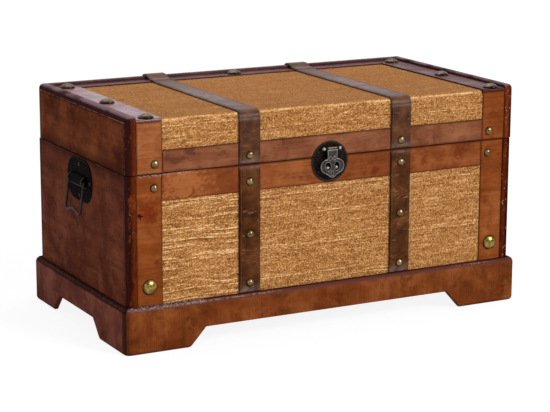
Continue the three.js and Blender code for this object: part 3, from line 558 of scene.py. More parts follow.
def quads(rows, columns, wrap=False):
    """Faces of a grid of points stored row by row"""
    across = np.arange(columns if wrap else columns - 1)
    row, column = np.meshgrid(np.arange(rows - 1) * columns, across, indexing="ij")
    after = (column + 1) % columns
    corners = [row + column, row + after, row + columns + after, row + columns + column]
    return np.stack(corners, axis=-1).reshape(-1, 4)


def walls(first, second, closed=True):
    """Faces between two rows of points"""
    faces = np.stack([first, np.roll(first, -1), np.roll(second, -1), second], axis=1)
    return faces if closed else faces[:-1]


def ring(sides):
    turns = np.arange(sides) * (2 * math.pi / sides)
    return np.cos(turns), np.sin(turns)


def turned(profile, origin, direction, sides):
    """A closed turned solid. The profile is (radius, height), from the axis below to the axis above"""
    profile = np.array(profile, float)
    across = np.stack([*ring(sides), np.ones(sides)], axis=1)
    points = (profile[1:-1, None, [0, 0, 1]] * across).reshape(-1, 3)
    count, around = len(points), np.arange(sides)
    after = np.roll(around, -1)
    bottom = np.stack([after, around, np.full(sides, count)], axis=1)
    top = np.stack([around, after, np.full(sides, sides + 1)], axis=1) + count - sides
    points = np.concatenate([points, [[0, 0, profile[0, 1]], [0, 0, profile[-1, 1]]]])
    turn = np.array(Vector(direction).to_track_quat("Z", "Y").to_matrix())
    return points @ turn.T + np.array(origin), [quads(len(profile) - 2, sides, True), bottom, top]


def bored(profile, origin, direction, sides):
    """A turned ring. The profile runs up its outside, and its hole joins the last point to the first"""
    points, faces = turned([profile[0], *profile, profile[-1]], origin, direction, sides)
    around = np.arange(sides)
    return points[:-2], [faces[0], walls(around + len(points) - 2 - sides, around)]


def tube(route, radius, sides):
    """A closed round wire along a route"""
    route = np.asarray(route, float)
    tangents = unit(np.gradient(route, axis=0))
    side = np.cross(tangents[0], AXIS_X)
    if np.linalg.norm(side) < 0.1:
        side = np.cross(tangents[0], UP)
    cosines, sines = ring(sides)
    points = []
    for place, tangent in zip(route, tangents):
        side = unit(side - tangent * np.dot(side, tangent))
        points.append(place + radius * (np.outer(cosines, side) + np.outer(sines, np.cross(tangent, side))))
    start = np.arange(sides)
    end = start + sides * (len(route) - 1)
    return np.concatenate(points), [quads(len(route), sides, True), start[::-1][None], end[None]]


def prism(outline, origin, across, upward, thickness):
    """A plate from a counter-clockwise outline, raised to its thickness along across x upward"""
    flat = np.array(outline) @ np.array([across, upward]) + np.array(origin)
    around, count = np.arange(len(flat)), len(flat)
    points = np.concatenate([flat, flat + np.cross(across, upward) * thickness])
    return points, [walls(around, around + count), around[::-1][None], (around + count)[None]]


def slab(front, back):
    """A closed solid between two grids of the same size, seen from its front"""
    rows, columns = front.shape[:2]
    count = rows * columns
    grid = np.arange(count).reshape(rows, columns)
    rim = np.concatenate([grid[0], grid[1:, -1], grid[-1, -2::-1], grid[-2:0:-1, 0]])[::-1]
    faces = quads(rows, columns)
    points = np.concatenate([front.reshape(-1, 3), back.reshape(-1, 3)])
    return points, [faces, faces[:, ::-1] + count, walls(rim, rim + count)]


def arc(u, v, across, upward, turns):
    """Points of an ellipse about (u, v), one for each turn"""
    return [(u + across * math.cos(turn), v + upward * math.sin(turn)) for turn in turns]


def half_turn(count):
    return np.linspace(-math.pi / 2, math.pi / 2, count)


def circle(u, v, width, height, steps=40):
    return arc(u, v, width / 2, height / 2, np.arange(steps) * (2 * math.pi / steps))


def rounded_rectangle(width, height, radius):
    points = []
    for quarter, (u, v) in enumerate(((1, -1), (1, 1), (-1, 1), (-1, -1))):
        turns = np.linspace(quarter - 1, quarter, 6) * math.pi / 2
        points += arc(u * (width / 2 - radius), v * (height / 2 - radius), radius, radius, turns)
    return points


def rounded_path(corners, spacing):
    """Evenly spaced (y, z) points along a path of (y, z, radius) corners, with normals on its left"""
    places = [complex(y, z) for y, z, _ in corners]
    dense = [places[0]]
    for before, here, after, (_, _, radius) in zip(places, places[1:], places[2:], corners[1:]):
        back, ahead = (before - here) / abs(before - here), (after - here) / abs(after - here)
        corner = np.angle(ahead / back)
        half = abs(corner) / 2
        centre = here + (back + ahead) / abs(back + ahead) * radius / math.sin(half)
        arm = here + back * radius / math.tan(half) - centre
        turns = np.linspace(0, math.copysign(math.pi - 2 * half, -corner), 17)
        dense.extend(centre + arm * np.exp(1j * turns))
    dense = np.array([*dense, places[-1]])
    lengths = np.concatenate([[0], np.cumsum(np.abs(np.diff(dense)))])
    stations = np.linspace(0, lengths[-1], max(2, round(lengths[-1] / spacing) + 1))
    path = np.interp(stations, lengths, dense)
    ahead = np.gradient(path)
    normals = 1j * ahead / np.abs(ahead)
    return stations, *(np.stack([values.real, values.imag], axis=1) for values in (path, normals))


def relief_sheet(xs, path, normals, heights, back_depth):
    """A closed sheet: a front grid raised by heights over a path, with a plain back behind it"""
    rows, columns = heights.shape
    count = rows * columns
    front = np.empty((rows, columns, 3))
    front[..., 0] = xs
    front[..., 1:] = path[:, None] + normals[:, None] * heights[..., None]
    behind = path - normals * back_depth
    ends = [np.column_stack([xs, np.tile(behind[index], (columns, 1))]) for index in (0, -1)]
    sides = [np.column_stack([np.full(rows - 2, x), behind[1:-1]]) for x in (xs[0], xs[-1])]
    grid = np.arange(count).reshape(rows, columns)
    first = count + np.arange(columns)
    last = first + columns
    inner = count + 2 * columns + np.arange(rows - 2)
    left = np.concatenate([first[:1], inner, last[:1]])
    right = np.concatenate([first[-1:], inner + rows - 2, last[-1:]])
    pairs = (
        (grid[0][::-1], first[::-1]), (grid[-1], last), (grid[:, 0], left), (grid[:, -1][::-1], right[::-1]),
        (left[1:-1], right[1:-1]),
    )
    start = np.concatenate([first[::-1], [left[1], right[1]]])[None]
    end = np.concatenate([last, [right[-2], left[-2]]])[None]
    faces = [quads(rows, columns), *(walls(*pair, closed=False) for pair in pairs), start, end]
    return np.concatenate([front.reshape(-1, 3), *ends, *sides]), faces


def sheet_map(piece, rows, columns, width, length):
    """A map for the piece: its front as one sheet, with the walls and the back on thin bands beside it"""
    mesh = piece.data
    corners = np.empty(len(mesh.loops), np.int32)
    mesh.loops.foreach_get("vertex_index", corners)
    across, down = corners % columns / (columns - 1), corners // columns / (rows - 1)
    uv = 0.01 + 0.9 / max(width, length) * np.stack([across * width, down * length], axis=1)
    places = np.empty(len(mesh.vertices) * 3, np.float32)
    mesh.vertices.foreach_get("co", places)
    places = places.reshape(-1, 3)[corners]
    low, high = places.min(0), places.max(0)
    x, y, z = ((places - low) / np.maximum(high - low, 1e-9)).T
    hidden = np.arange(len(corners)) >= mesh.polygons[(rows - 1) * (columns - 1)].loop_start
    bands = np.stack([0.93 + 0.06 * x, 0.05 + 0.9 * (y + z) / 2], axis=1)
    uv[hidden] = bands[hidden]
    mesh.uv_layers.new(name="OFBake").data.foreach_set("uv", uv.astype(np.float32).ravel())


def lattice_noise(u, v, seed):
    """Smooth random values from 0 to 1 over a unit lattice"""
    table = np.random.default_rng(seed).random((257, 257))
    column, row = np.floor(u).astype(int), np.floor(v).astype(int)
    s, t = u - column, v - row
    s, t = s * s * (3 - 2 * s), t * t * (3 - 2 * t)
    column, row = column % 256, row % 256
    low = table[row, column] * (1 - s) + table[row, column + 1] * s
    high = table[row + 1, column] * (1 - s) + table[row + 1, column + 1] * s
    return low * (1 - t) + high * t


def smooth_between(value, low, high):
    share = np.clip((value - low) / (high - low), 0, 1)
    return share * share * (3 - 2 * share)


# Woven grass panels
ROW_PITCH = 2.5
FLOAT_PITCH = 2.3
WEAVE_RELIEF = 1.15
WEAVE_BASE = -0.55
WEAVE_HALF_THICKNESS = 2.8
WEAVE_BEND = 9.0
STRAP_TUCK = 3.0
STRAP_CLEAR = 0.7
SLUB_CELL = (58.0, 27.0)
WAVINESS = {"body": (1.0, 0.45, 0.2), "lid": (0.4, 0.25, 0.2)}
SEAGRASS_TONES = ((122, 72, 27), (177, 117, 58), (208, 152, 91), (250, 207, 153))


def row_value(row, seed):
    """One random value from 0 to 1 for each row"""
    return np.random.default_rng(seed).random(512)[row.astype(int) % 512]


def thick_share(u, row, many):
    """How far a row is a thick bright one at u"""
    chosen = smooth_between(row_value(row, 18), 0.93 - many, 0.98 - many)
    length = 30 + 50 * row_value(row, 19)
    field = lattice_noise(u / length + row * 5.1, row * 7.31 + 40, 14)
    return chosen * smooth_between(field, 0.30, 0.55)


def slubs(u, v):
    """Short thick places in a yarn, a few in every square decimetre"""
    width, height = SLUB_CELL
    column, row = np.floor(u / width).astype(int), np.floor(v / height).astype(int)
    table = np.random.default_rng(24).random((4, 61, 61))
    present, at_u, at_v, length = (values[row % 61, column % 61] for values in table)
    off_u = u - (column + 0.25 + 0.5 * at_u) * width
    off_v = v - (row + 0.25 + 0.5 * at_v) * height
    lens = np.exp(-(off_u / (5 + 6 * length)) ** 2 - (off_v / 1.9) ** 2)
    return lens * (present > 0.62)


def weave_relief(u, v, waviness):
    """Height and colour share of the weave at u across and v along its rows"""
    slow = lattice_noise(u / 62, v / 34, 11) - 0.5
    middling = lattice_noise(u / 20, v / 11, 12) - 0.5
    quick = lattice_noise(u / 4.0, v / 3.0, 25) - 0.5
    across = (v + 4.5 * waviness * slow + 1.2 * middling + 0.35 * quick + 40) / ROW_PITCH
    row = np.floor(across)
    offset = across - row - 0.5
    seed_line = row * 7.31 + 40
    thickness = 0.66 + 0.50 * lattice_noise(u / 6 + row * 3.7, seed_line, 13)
    strength = 0.45 + 0.55 * waviness
    thick = strength * thick_share(u, row, 0.30 * waviness)
    above = strength * thick_share(u, row + 1, 0.30 * waviness)
    jitter = 1.1 * lattice_noise(u / 4.5 + row * 2.3, seed_line, 15)
    phase = u / FLOAT_PITCH + 9 * row_value(row, 23) + jitter
    over = smooth_between(0.5 + 0.5 * np.cos(math.pi * phase), 0.05, 0.75)
    yarn = np.cos(math.pi * offset) ** 0.6
    held = over * (1 - 0.45 * thick) + 0.45 * thick
    weft = yarn * (thickness * (0.16 + 0.76 * held) + 0.22 * thick)
    warp = 0.50 * (1 - over) * (0.55 + 0.45 * np.cos(math.pi * offset))
    lens = slubs(u, v) * (1 - waviness)
    grain = lattice_noise(u / 1.4 + row * 3.1, v / 1.0 + row * 5.3, 26) - 0.5
    streak = lattice_noise(u / 26 + row * 4.3, seed_line, 28) - 0.5
    height = np.clip(np.maximum(weft, warp) + 0.26 * lens + 0.26 * grain, 0, 1.3)
    blade = lattice_noise(u / (2.4 + 1.6 * waviness) + row * 9.7, seed_line, 16)
    tint = 0.37 + 0.26 * (blade - 0.5) + (0.22 + 0.22 * waviness) * streak + 0.62 * grain
    # Raised places lighter and low places darker: painted highlight and shade following the height
    tint = tint + 0.32 * thick * (0.2 + 1.1 * blade) + 0.36 * (height - 0.5) + 0.24 * lens
    # Painted shadow: a row's upper part darkened under a thick row above it
    return height, tint - 0.28 * above * smooth_between(offset, -0.1, 0.4)


def over_bend(u, v, heights, tint, bend):
    """The lid's weave: a ridge along its bend, lighter as a painted highlight, and a flatter weave on top,
    darker and of less contrast as painted shade
    """
    drift = 3.0 * (lattice_noise(u / 60, u * 0 + 3, 22) - 0.5)
    strong = 0.45 + 0.55 * smooth_between(lattice_noise(u / 30, v / 40, 21), 0.2, 0.5)
    ridge = strong * np.exp(-((v - bend - drift) / 2.0) ** 2)
    on_top = smooth_between(v, bend + 2, bend + 9)
    heights = heights * (1 - 0.45 * on_top) + 0.30 * on_top + 0.25 * ridge
    # Painted light on the tint: darker with less contrast on top, lighter along the ridge
    return heights, tint * (1 - 0.42 * on_top) + 0.01 * on_top + 0.45 * ridge


def strap_spans():
    spans = [box(f"body_{side}_strap") for side, _ in SIDES]
    return [(low.x, high.x) for low, high in spans]


def weave_columns(start, end, spacing):
    """x stations of the three panels: close where they show, and one under the middle of each strap"""
    spans = strap_spans()
    cuts = [start, *(cut for low, high in spans for cut in (low + STRAP_TUCK, high - STRAP_TUCK)), end]
    middles = [(low + high) / 2 for low, high in spans]
    for index, (first, last) in enumerate(zip(cuts[::2], cuts[1::2])):
        shown = np.linspace(first, last, round((last - first) / spacing) + 1)
        yield np.concatenate([middles[index - 1:index], shown, middles[index:index + 1]])


def seagrass():
    shader = Shader("seagrass")
    fibre = shader.noise((480, 950, 950))
    value = shader.attribute("tint") + 1.15 * (fibre - 0.5) + 0.12 * (shader.noise(9) - 0.5)
    shader.tone = shader.ramp(value, (0.05, 0.32, 0.60, 0.95), SEAGRASS_TONES)
    # Painted shade: the low places between the yarns darkened
    shader.lay(shader.attribute("height").rise(0.05, 0.46, 0.60, 0.0), (86, 48, 15))
    return shader.finish(Roughness=0.85, Specular_IOR_Level=0.2, Normal=shader.bump(fibre, 0.25, 0.6))


def make_weave(label, body, material, corners, spacing, column_spacing, bend=None):
    low, high = box(label + "_weave")
    stations, path, normals = rounded_path(corners, spacing)
    for index, xs in enumerate(weave_columns(low.x, high.x, column_spacing)):
        u, v = np.meshgrid(xs, stations)
        heights, tint = weave_relief(u, v, WAVINESS[label][index])
        if bend is not None:
            heights, tint = over_bend(u, v, heights, tint, bend)
        raised = WEAVE_BASE + WEAVE_RELIEF * heights
        for start, end in strap_spans():
            raised = raised * (1 - smooth_between(np.minimum(u - start, end - u), -STRAP_CLEAR, 0.2))
        rim = np.minimum(np.minimum(u - low.x, high.x - u), np.minimum(v, stations[-1] - v))
        raised = raised - 0.55 * (1 - smooth_between(rim, 0.0, 1.6))
        name = f"{label}_weave_{('left', 'middle', 'right')[index]}"
        sheet = relief_sheet(xs, path, normals, raised, WEAVE_HALF_THICKNESS)
        piece = new_piece(name, sheet, material, body, (label + "_weave",))
        add_values(piece, "tint", tint)
        add_values(piece, "height", heights)
        sheet_map(piece, len(stations), len(xs), xs[-1] - xs[0], stations[-1])


def make_weaves():
    material = seagrass()
    low, high = box("body_weave")
    make_weave("body", "base", material, [(low.y, low.z, 0), (low.y, high.z, 0)], 0.62, 0.95)
    low, high = box("lid_weave")
    corners = [(low.y, low.z, 0), (low.y, high.z, WEAVE_BEND), (high.y, high.z, 0)]
    bend = high.z - low.z - WEAVE_BEND + WEAVE_BEND * math.pi / 4
    make_weave("lid", "lid", material, corners, 0.92, 1.12, bend)


make_weaves()


# Nails
NAIL_SIDES = 40
NAIL_RINGS = 12
NAIL_FOOT = 0.1
DENT_DEPTH = 0.10
DENT_WAVES = ((2.1, 1.7, 1.9), (-1.5, 2.3, 1.3))
DENT_SHIFT = 0.9
LARGE_NAIL = 20
SMALL_NAIL = 14.0
SMALL_NAIL_RISE = 5.0
STRAP_NAIL_FOOT = -0.6
STRAP_NAILS_BELOW_RAIL_TOP = {"high": 27, "middle": 116.25}
RIGHT_STRAP_NAIL_LIFT = 5.5
LOW_NAIL_ABOVE_PLINTH = 16.5
LID_NAIL_ABOVE_SEAM = 15.5
REAR_NAIL_BELOW_RIM = 15.7


def brass(name, *tones):
    shader = Shader(name)
    mottle = shader.noise(260, (0, 0, 0), 4, 0.65)
    patch = shader.noise(90, (3, 1, 2), 3)
    shader.tone = shader.ramp(0.6 * patch + 0.5 * mottle, (0.32, 0.52, 0.72), tones)
    # The dome darkens toward its foot: patina at the foot, and painted shade down the dome's sides
    shader.lay(shader.attribute("crown").rise(0.02, 0.72, 0.95, 0.0), (30, 17, 8))
    shader.lay(mottle.rise(0.56, 0.72, 0.0, 0.5), (50, 42, 24))
    return shader.finish(
        Metallic=0.95, Roughness=mottle.rise(0.3, 0.7, 0.20, 0.38), Specular_IOR_Level=0.3,
        Normal=shader.bump(patch, 0.6, 0.35),
    )


def nail_profile(diameter, rise, foot):
    radius = diameter / 2
    lip = 0.06 * diameter
    sphere = (radius ** 2 + (rise - lip) ** 2) / (2 * (rise - lip))
    steepest = math.asin(min(1.0, radius * 0.97 / sphere))
    edge = [(radius * 0.92, foot), (radius, foot + 0.3 * lip), (radius, 0.7 * lip), (radius * 0.985, lip)]
    angles = steepest * (1 - np.arange(NAIL_RINGS) / NAIL_RINGS)
    dome = [(sphere * math.sin(angle), rise - sphere + sphere * math.cos(angle)) for angle in angles]
    return [(0, foot), *edge, *dome, (0, rise)]


def make_nail(name, place, direction, diameter, rise, body, material, foot, replaces=()):
    """A domed nail head with shallow dents"""
    points, faces = turned(nail_profile(diameter, rise, foot), place, direction, NAIL_SIDES)
    first, second = DENT_WAVES
    dents = np.sin(points @ first + DENT_SHIFT * sum(place)) * np.sin(points @ second)
    crown = np.clip((points - np.array(place)) @ np.array(direction) / rise, 0, 1)
    points = points - np.outer(DENT_DEPTH * dents * smooth_between(crown, 0.25, 0.7), direction)
    piece = new_piece(name, (points, faces), material, body, replaces)
    add_values(piece, "crown", crown, 0)


def face_nails(large_brass, small_brass, shaded_top_brass):
    """Nails with a node of their own: on the posts, facing front, and on the lid's strips, facing up"""
    front, top = box("body_front_rail")[0].y, box("lid_strip_back")[1].z
    for name in nodes:
        if "nail" not in name:
            continue
        low, high = box(name)
        place, width = (low + high) / 2, high.x - low.x
        if "strip" in name:
            place.z, direction, rise, material = top, UP, high.z - top, shaded_top_brass
        else:
            place.y, direction, rise = front, FRONT, front - low.y
            material = large_brass if width > LARGE_NAIL else small_brass
        body = nodes[name]["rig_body"]
        make_nail(name + "_head", place, direction, width, rise, body, material, NAIL_FOOT, (name,))


def strap_nails(material):
    rail_top, plinth_top = box("body_front_rail")[1].z, box("plinth_front")[1].z
    seam, rim_top = box("lid_front_rail")[0].z, box("lid_back")[1].z

    def nail(name, x, y, z, direction, body):
        size = (SMALL_NAIL, SMALL_NAIL_RISE, body, material, STRAP_NAIL_FOOT)
        make_nail(name, Vector((x, y, z)), direction, *size)

    for side, sign in SIDES:
        lift = RIGHT_STRAP_NAIL_LIFT if sign > 0 else 0
        low, high = box(f"body_{side}_strap")
        lid_low, lid_high = box(f"lid_{side}_strap")
        x, face = (low.x + high.x) / 2, lid_low.y + SMALL_NAIL_RISE
        heights = {label: rail_top - drop + lift for label, drop in STRAP_NAILS_BELOW_RAIL_TOP.items()}
        heights["low"] = plinth_top + LOW_NAIL_ABOVE_PLINTH
        for label, z in heights.items():
            nail(f"body_{side}_strap_nail_{label}", x, face, z, FRONT, "base")
        nail(f"lid_{side}_strap_nail_front", x, face, seam + LID_NAIL_ABOVE_SEAM, FRONT, "lid")
        rear = lid_high.y - SMALL_NAIL_RISE
        nail(f"lid_{side}_strap_nail_back", x, rear, rim_top - REAR_NAIL_BELOW_RIM, BACK, "lid")


def make_nails():
    plain = brass("antique_brass_plain", (96, 72, 30), (158, 132, 64), (212, 190, 122))
    # The nails on the lid's strips take a darker copy of the brass: painted shade
    dim = brass("antique_brass_painted_shade", (44, 32, 20), (78, 62, 42), (124, 106, 80))
    small = brass("antique_brass_small", (76, 55, 32), (134, 108, 68), (196, 174, 130))
    face_nails(plain, small, dim)
    strap_nails(small)


make_nails()


# Straps
STRAP_THICKNESS = 3.0
STRAP_GAP = 0.3
STRAP_BEND = 10.3
STRAP_BACK_BEND = 8.0
STRAP_STEP_BEND = 3
STRAP_STRIP_RUN = 8
STRAP_RIM_RUN = 14
STRAP_TAIL = 32
STRAP_EDGE = 6
STRAP_GROOVE_INSET = 3.6
STRAP_GROOVE_WIDTH = 0.558
STITCH_PITCH = 4.2
STITCH_LENGTH = 2.9
STITCH_RADIUS = 0.42


def strap_leather(name, gloss):
    shader = Shader(name)
    across = shader.attribute("across")
    blotch = shader.noise(34, (0, 0, 0), 4, 0.6)
    grain = shader.cells(1300)
    tones = ((48, 24, 9), (80, 43, 19), (112, 66, 34))
    shader.tone = shader.ramp(0.18 * grain + 0.9 * blotch, (0.34, 0.52, 0.72), tones)
    red = shader.noise((24, 24, 30), (5, 2, 1), 3).rise(0.56, 0.72)
    shader.lay(red * across.rise(0.62, 0.95), (112, 44, 26))
    shader.lay(across.rise(0.92, 0.99), (32, 17, 15), 0.85)
    dull = shader.noise((70, 70, 160), (3, 1, 4), 4, 0.7).rise(0.22, 0.74)
    # Pale mauve at the listed places: worn ends, and painted sheen and highlight lines on the lid strap
    shader.lay(shader.attribute("wear_and_sheen") * dull, (142, 118, 112), 0.72)
    crease = shader.noise((5, 42, 42), (4, 1, 2), 2, 0.5, 0.3).line(0.52, 0.007)
    shader.lay(crease * shader.noise(28, (7, 2, 1)).rise(0.46, 0.58), (140, 96, 70), 0.6)
    scratch = shader.noise((16, 90, 90), (1, 4, 2), 2, 0.5, 0.8).line(0.5, 0.012)
    shader.lay(scratch * shader.noise(60, (2, 2, 7)).rise(0.47, 0.60), (158, 112, 80), 0.7)
    return shader.finish(
        Roughness=blotch.rise(0.3, 0.7, 0.34, 0.50), Specular_IOR_Level=gloss,
        Normal=shader.bump(grain - 0.5 * scratch, 0.22, 0.6),
    )


def thread():
    shader = Shader("strap_thread")
    twist = shader.noise((1800, 1800, 3600), (0, 0, 0), 1)
    shader.tone = shader.ramp(twist, (0.35, 0.65), ((60, 40, 28), (112, 82, 58)))
    return shader.finish(Roughness=0.8, Normal=shader.bump(twist, 0.1, 0.5))


def strap_heights(u, v, half, seed):
    """Leather with thin edges, a groove for the stitches, creases and dents"""
    inset = half - np.abs(u)
    height = STRAP_THICKNESS * (0.52 + 0.48 * np.sqrt(smooth_between(inset, -0.1, 1.5)))
    height = height - 0.42 * np.exp(-((inset - STRAP_GROOVE_INSET) / STRAP_GROOVE_WIDTH) ** 2)
    height = height - 0.10 * np.exp(-((inset - 1.9) / 0.5) ** 2)
    creases = lattice_noise(u / 30 + 9, v / 5.2, seed) - 0.5
    dents = lattice_noise(u / 9 + 3, v / 13, seed + 1) - 0.5
    height = height + smooth_between(inset, 0.4, 2.4) * (0.12 * creases + 0.16 * dents) - 0.14
    ends = np.minimum(v, v[-1] - v)
    return height * (0.55 + 0.45 * np.sqrt(smooth_between(ends, -0.1, 1.4)))


def stitches(x, inset, stations, path, normals):
    """Short threads along both grooves of a strap, each a little aslant"""
    count = int((stations[-1] - 6) // STITCH_PITCH)
    start = (stations[-1] - (count - 1) * STITCH_PITCH) / 2
    shares = np.linspace(-1, 1, 5)
    lifts = STRAP_THICKNESS - 0.62 + 0.34 * (1 - shares ** 2)
    solids = []
    for index in range(count):
        at = start + index * STITCH_PITCH + STITCH_LENGTH / 2 * shares
        y, z, ny, nz = (np.interp(at, stations, values) for values in (*path.T, *normals.T))
        for sign in (-1, 1):
            route = np.stack([x + sign * inset + 0.16 * shares, y + ny * lifts, z + nz * lifts], axis=1)
            solids.append(tube(route, STITCH_RADIUS, 6))
    return joined(solids)


def make_strap(node, body, corners, wear_and_sheen_places, leather, cotton, seed):
    """The places along the strap laid pale, each with its reach: worn ends, and on the lid strap painted
    sheen and highlights at its bends and over its top
    """
    low, high = box(node.replace("lid", "body"))
    x, half = (low.x + high.x) / 2, (high.x - low.x) / 2
    edge = np.linspace(-half, STRAP_EDGE - half, 13)
    across = np.concatenate([edge[:-1], np.linspace(edge[-1], -edge[-1], 26), -edge[-2::-1]])
    stations, path, normals = rounded_path(corners, 1.3)
    u, v = np.meshgrid(across, stations)
    sheet = relief_sheet(across + x, path, normals, strap_heights(u, v, half, seed), 0.0)
    piece = new_piece(node + "_leather", sheet, leather, body, (node,))
    add_values(piece, "across", np.abs(u) / half)
    worn = sum(np.exp(-((v - place) / reach) ** 2) for place, reach in wear_and_sheen_places)
    add_values(piece, "wear_and_sheen", np.clip(worn, 0, 1))
    sheet_map(piece, len(stations), len(across), 2 * half, stations[-1])
    seam = stitches(x, half - STRAP_GROOVE_INSET, stations, path, normals)
    new_piece(node + "_leather_stitches", seam, cotton, body)


def make_straps():
    hanging = strap_leather("strap_leather_body", 0.05)
    folded = strap_leather("strap_leather_lid", 0.17)
    seam = thread()
    over_weave = box("lid_weave")[1].z + STRAP_GAP
    strip, rim = box("lid_strip_back"), box("lid_back")
    strip_front, over_strip = strip[0].y, strip[1].z + STRAP_GAP
    rim_front, over_rim, back = rim[0].y, rim[1].z + STRAP_GAP, rim[1].y + STRAP_GAP
    for index, (side, _) in enumerate(SIDES):
        low, high = box(f"body_{side}_strap")
        front = high.y
        corners = [(front, low.z, 0), (front, high.z, 0)]
        wear_and_sheen_places = [(high.z - low.z, 4.0), (4.0, 7.0)]
        make_strap(f"body_{side}_strap", "base", corners, wear_and_sheen_places, hanging, seam, 31 + index)
        bottom = box(f"lid_{side}_strap")[0].z
        corners = [
            (front, bottom, 0), (front, over_weave, STRAP_BEND),
            (strip_front - STRAP_STRIP_RUN, over_weave, STRAP_STEP_BEND),
            (strip_front, over_strip, STRAP_STEP_BEND),
            (rim_front - STRAP_RIM_RUN, over_strip, STRAP_STEP_BEND), (rim_front, over_rim, STRAP_STEP_BEND),
            (back, over_rim, STRAP_BACK_BEND), (back, over_rim - STRAP_TAIL, 0),
        ]
        rise, run = over_weave - bottom, strip_front - front
        # The worn end at the seam, painted highlight lines at the front bend, and painted sheen over the top
        wear_and_sheen_places = [(0.0, 9.0), (rise - 12, 2.0), (rise - 7, 1.6), (rise + run, 6.0)]
        wear_and_sheen_places.append((rise + 0.45 * run, 0.3 * run))
        make_strap(f"lid_{side}_strap", "lid", corners, wear_and_sheen_places, folded, seam, 41 + index)


make_straps()


# Shapes of the hardware
class Outline:
    """A plate's outline: a rectangle with rounded corners, or a disc"""

    def __init__(self, width, height=None, radius=None):
        self.height = height or width
        self.radius = radius or width / 2
        self.flat_u = width / 2 - self.radius
        self.flat_v = self.height / 2 - self.radius

    def half_width(self, v):
        over = np.maximum(np.abs(v) - self.flat_v, 0)
        return self.flat_u + np.sqrt(np.maximum(self.radius ** 2 - over ** 2, 0.0006 * self.radius ** 2))

    def inset(self, u, v):
        over_u, over_v = np.maximum(np.abs(u) - self.flat_u, 0), np.maximum(np.abs(v) - self.flat_v, 0)
        return self.radius - np.hypot(over_u, over_v)


def relief_plate(outline, centre, across, upward, relief, low=-1.0, high=1.0, rows=60, columns=60):
    """A plate with a relief, and its heights. low and high cut it, as shares of its half height"""
    across, upward, centre = (np.array(vector, float) for vector in (across, upward, centre))
    v = np.sin(np.linspace(math.asin(low), math.asin(high), rows))[:, None] * outline.height / 2
    u = np.sin(half_turn(columns)) * outline.half_width(v)
    v = np.broadcast_to(v, u.shape)
    raised = relief(u, v)
    flat = centre + u[..., None] * across + v[..., None] * upward
    return slab(flat + raised[..., None] * np.cross(across, upward), flat), raised


def engraved(outline, thickness, turns):
    """Relief of a cast plate: a roped rim, a groove and two waved lines of leaves"""
    def relief(u, v):
        inset = outline.inset(u, v)
        angle = turns * np.arctan2(v, u)

        def ridge(place, width):
            return np.exp(-((inset - place) / width) ** 2)

        rim = ridge(1.9, 1.3) * (0.75 + 0.25 * (0.5 + 0.5 * np.cos(6 * angle + inset * 1.6)))
        leaf, vein = ridge(11.5 + 2.4 * np.cos(angle), 1.1), ridge(18 - 1.8 * np.cos(angle), 0.9)
        carving = 0.30 + 0.36 * rim - 0.14 * ridge(4.6, 0.7) + 0.20 * leaf + 0.14 * vein
        return thickness * (0.30 + smooth_between(inset, -0.1, 0.9) * carving)
    return relief


def slotted(diameter, rise, angle):
    """Relief of a round screw head with a slot"""
    def relief(u, v):
        share = 2 * np.hypot(u, v) / diameter
        off = np.abs(u * math.cos(angle) + v * math.sin(angle))
        slot = 1 - smooth_between(off, 0.05 * diameter, 0.09 * diameter)
        dome = 0.45 + 0.55 * np.sqrt(np.maximum(1 - share ** 2, 0))
        return rise * (dome - 0.55 * slot * smooth_between(1 - share, 0.0, 0.1))
    return relief


def make_screw(name, place, across, diameter, rise, angle, material, body, slot="dark_bronze"):
    relief = slotted(diameter, rise, angle)
    solid, _ = relief_plate(Outline(diameter), place, across, UP, relief, rows=27, columns=27)
    new_piece(name, solid, material, body)


def sheet_plate(name, loops, thickness, edge, placing, material, body, slot="dark_bronze", replaces=()):
    """A flat plate with rounded edges from closed outlines, of which the later ones are holes"""
    across, upward, origin = (Vector(vector) for vector in placing)
    curve = bpy.data.curves.new(name, "CURVE")
    curve.dimensions = "2D"
    curve.fill_mode = "BOTH"
    curve.extrude = (thickness / 2 - edge) * MM
    curve.bevel_depth = edge * MM
    curve.bevel_resolution = 2
    curve.offset = -edge * MM
    for loop in loops:
        spline = curve.splines.new("POLY")
        spline.points.add(len(loop) - 1)
        for point, (u, v) in zip(spline.points, loop):
            point.co = (u * MM, v * MM, 0, 1)
        spline.use_cyclic_u = True
    shape = bpy.data.objects.new(name + "_outline", curve)
    mesh = bpy.data.meshes.new_from_object(shape)
    bpy.data.objects.remove(shape)
    bpy.data.curves.remove(curve)
    mesh.name = name
    turn = Matrix((across, upward, across.cross(upward))).transposed().to_4x4()
    mesh.transform(Matrix.Translation(origin * MM) @ turn)
    mesh.materials.clear()
    mesh.materials.append(material)
    piece = placed(name, mesh)
    piece.modifiers.new("weld", "WELD").merge_threshold = 0.01 * MM
    carried(piece, body, replaces)


# Metals
def cast_metal(name, dark, middle, bright, metallic=0.85, worn=0.55, roughness=0.42, gloss=0.5):
    shader = Shader(name)
    mottle = shader.noise(420, (0, 0, 0), 4, 0.7)
    patch = shader.noise(110, (1, 5, 2), 3)
    shader.tone = shader.ramp(0.5 * patch + 0.5 * mottle, (0.36, 0.62), (dark, middle))
    shader.lay((0.45 * mottle + shader.attribute("crown")).rise(0.86, 1.20), bright, worn)
    shader.lay(shader.noise(1500, (2, 2, 1), 1).rise(0.68, 0.76), bright, worn * 0.6)
    return shader.finish(
        Metallic=metallic, Roughness=mottle.rise(0.3, 0.7, roughness - 0.1, roughness + 0.14),
        Specular_IOR_Level=gloss, Normal=shader.bump(mottle, 0.25, 0.5),
    )


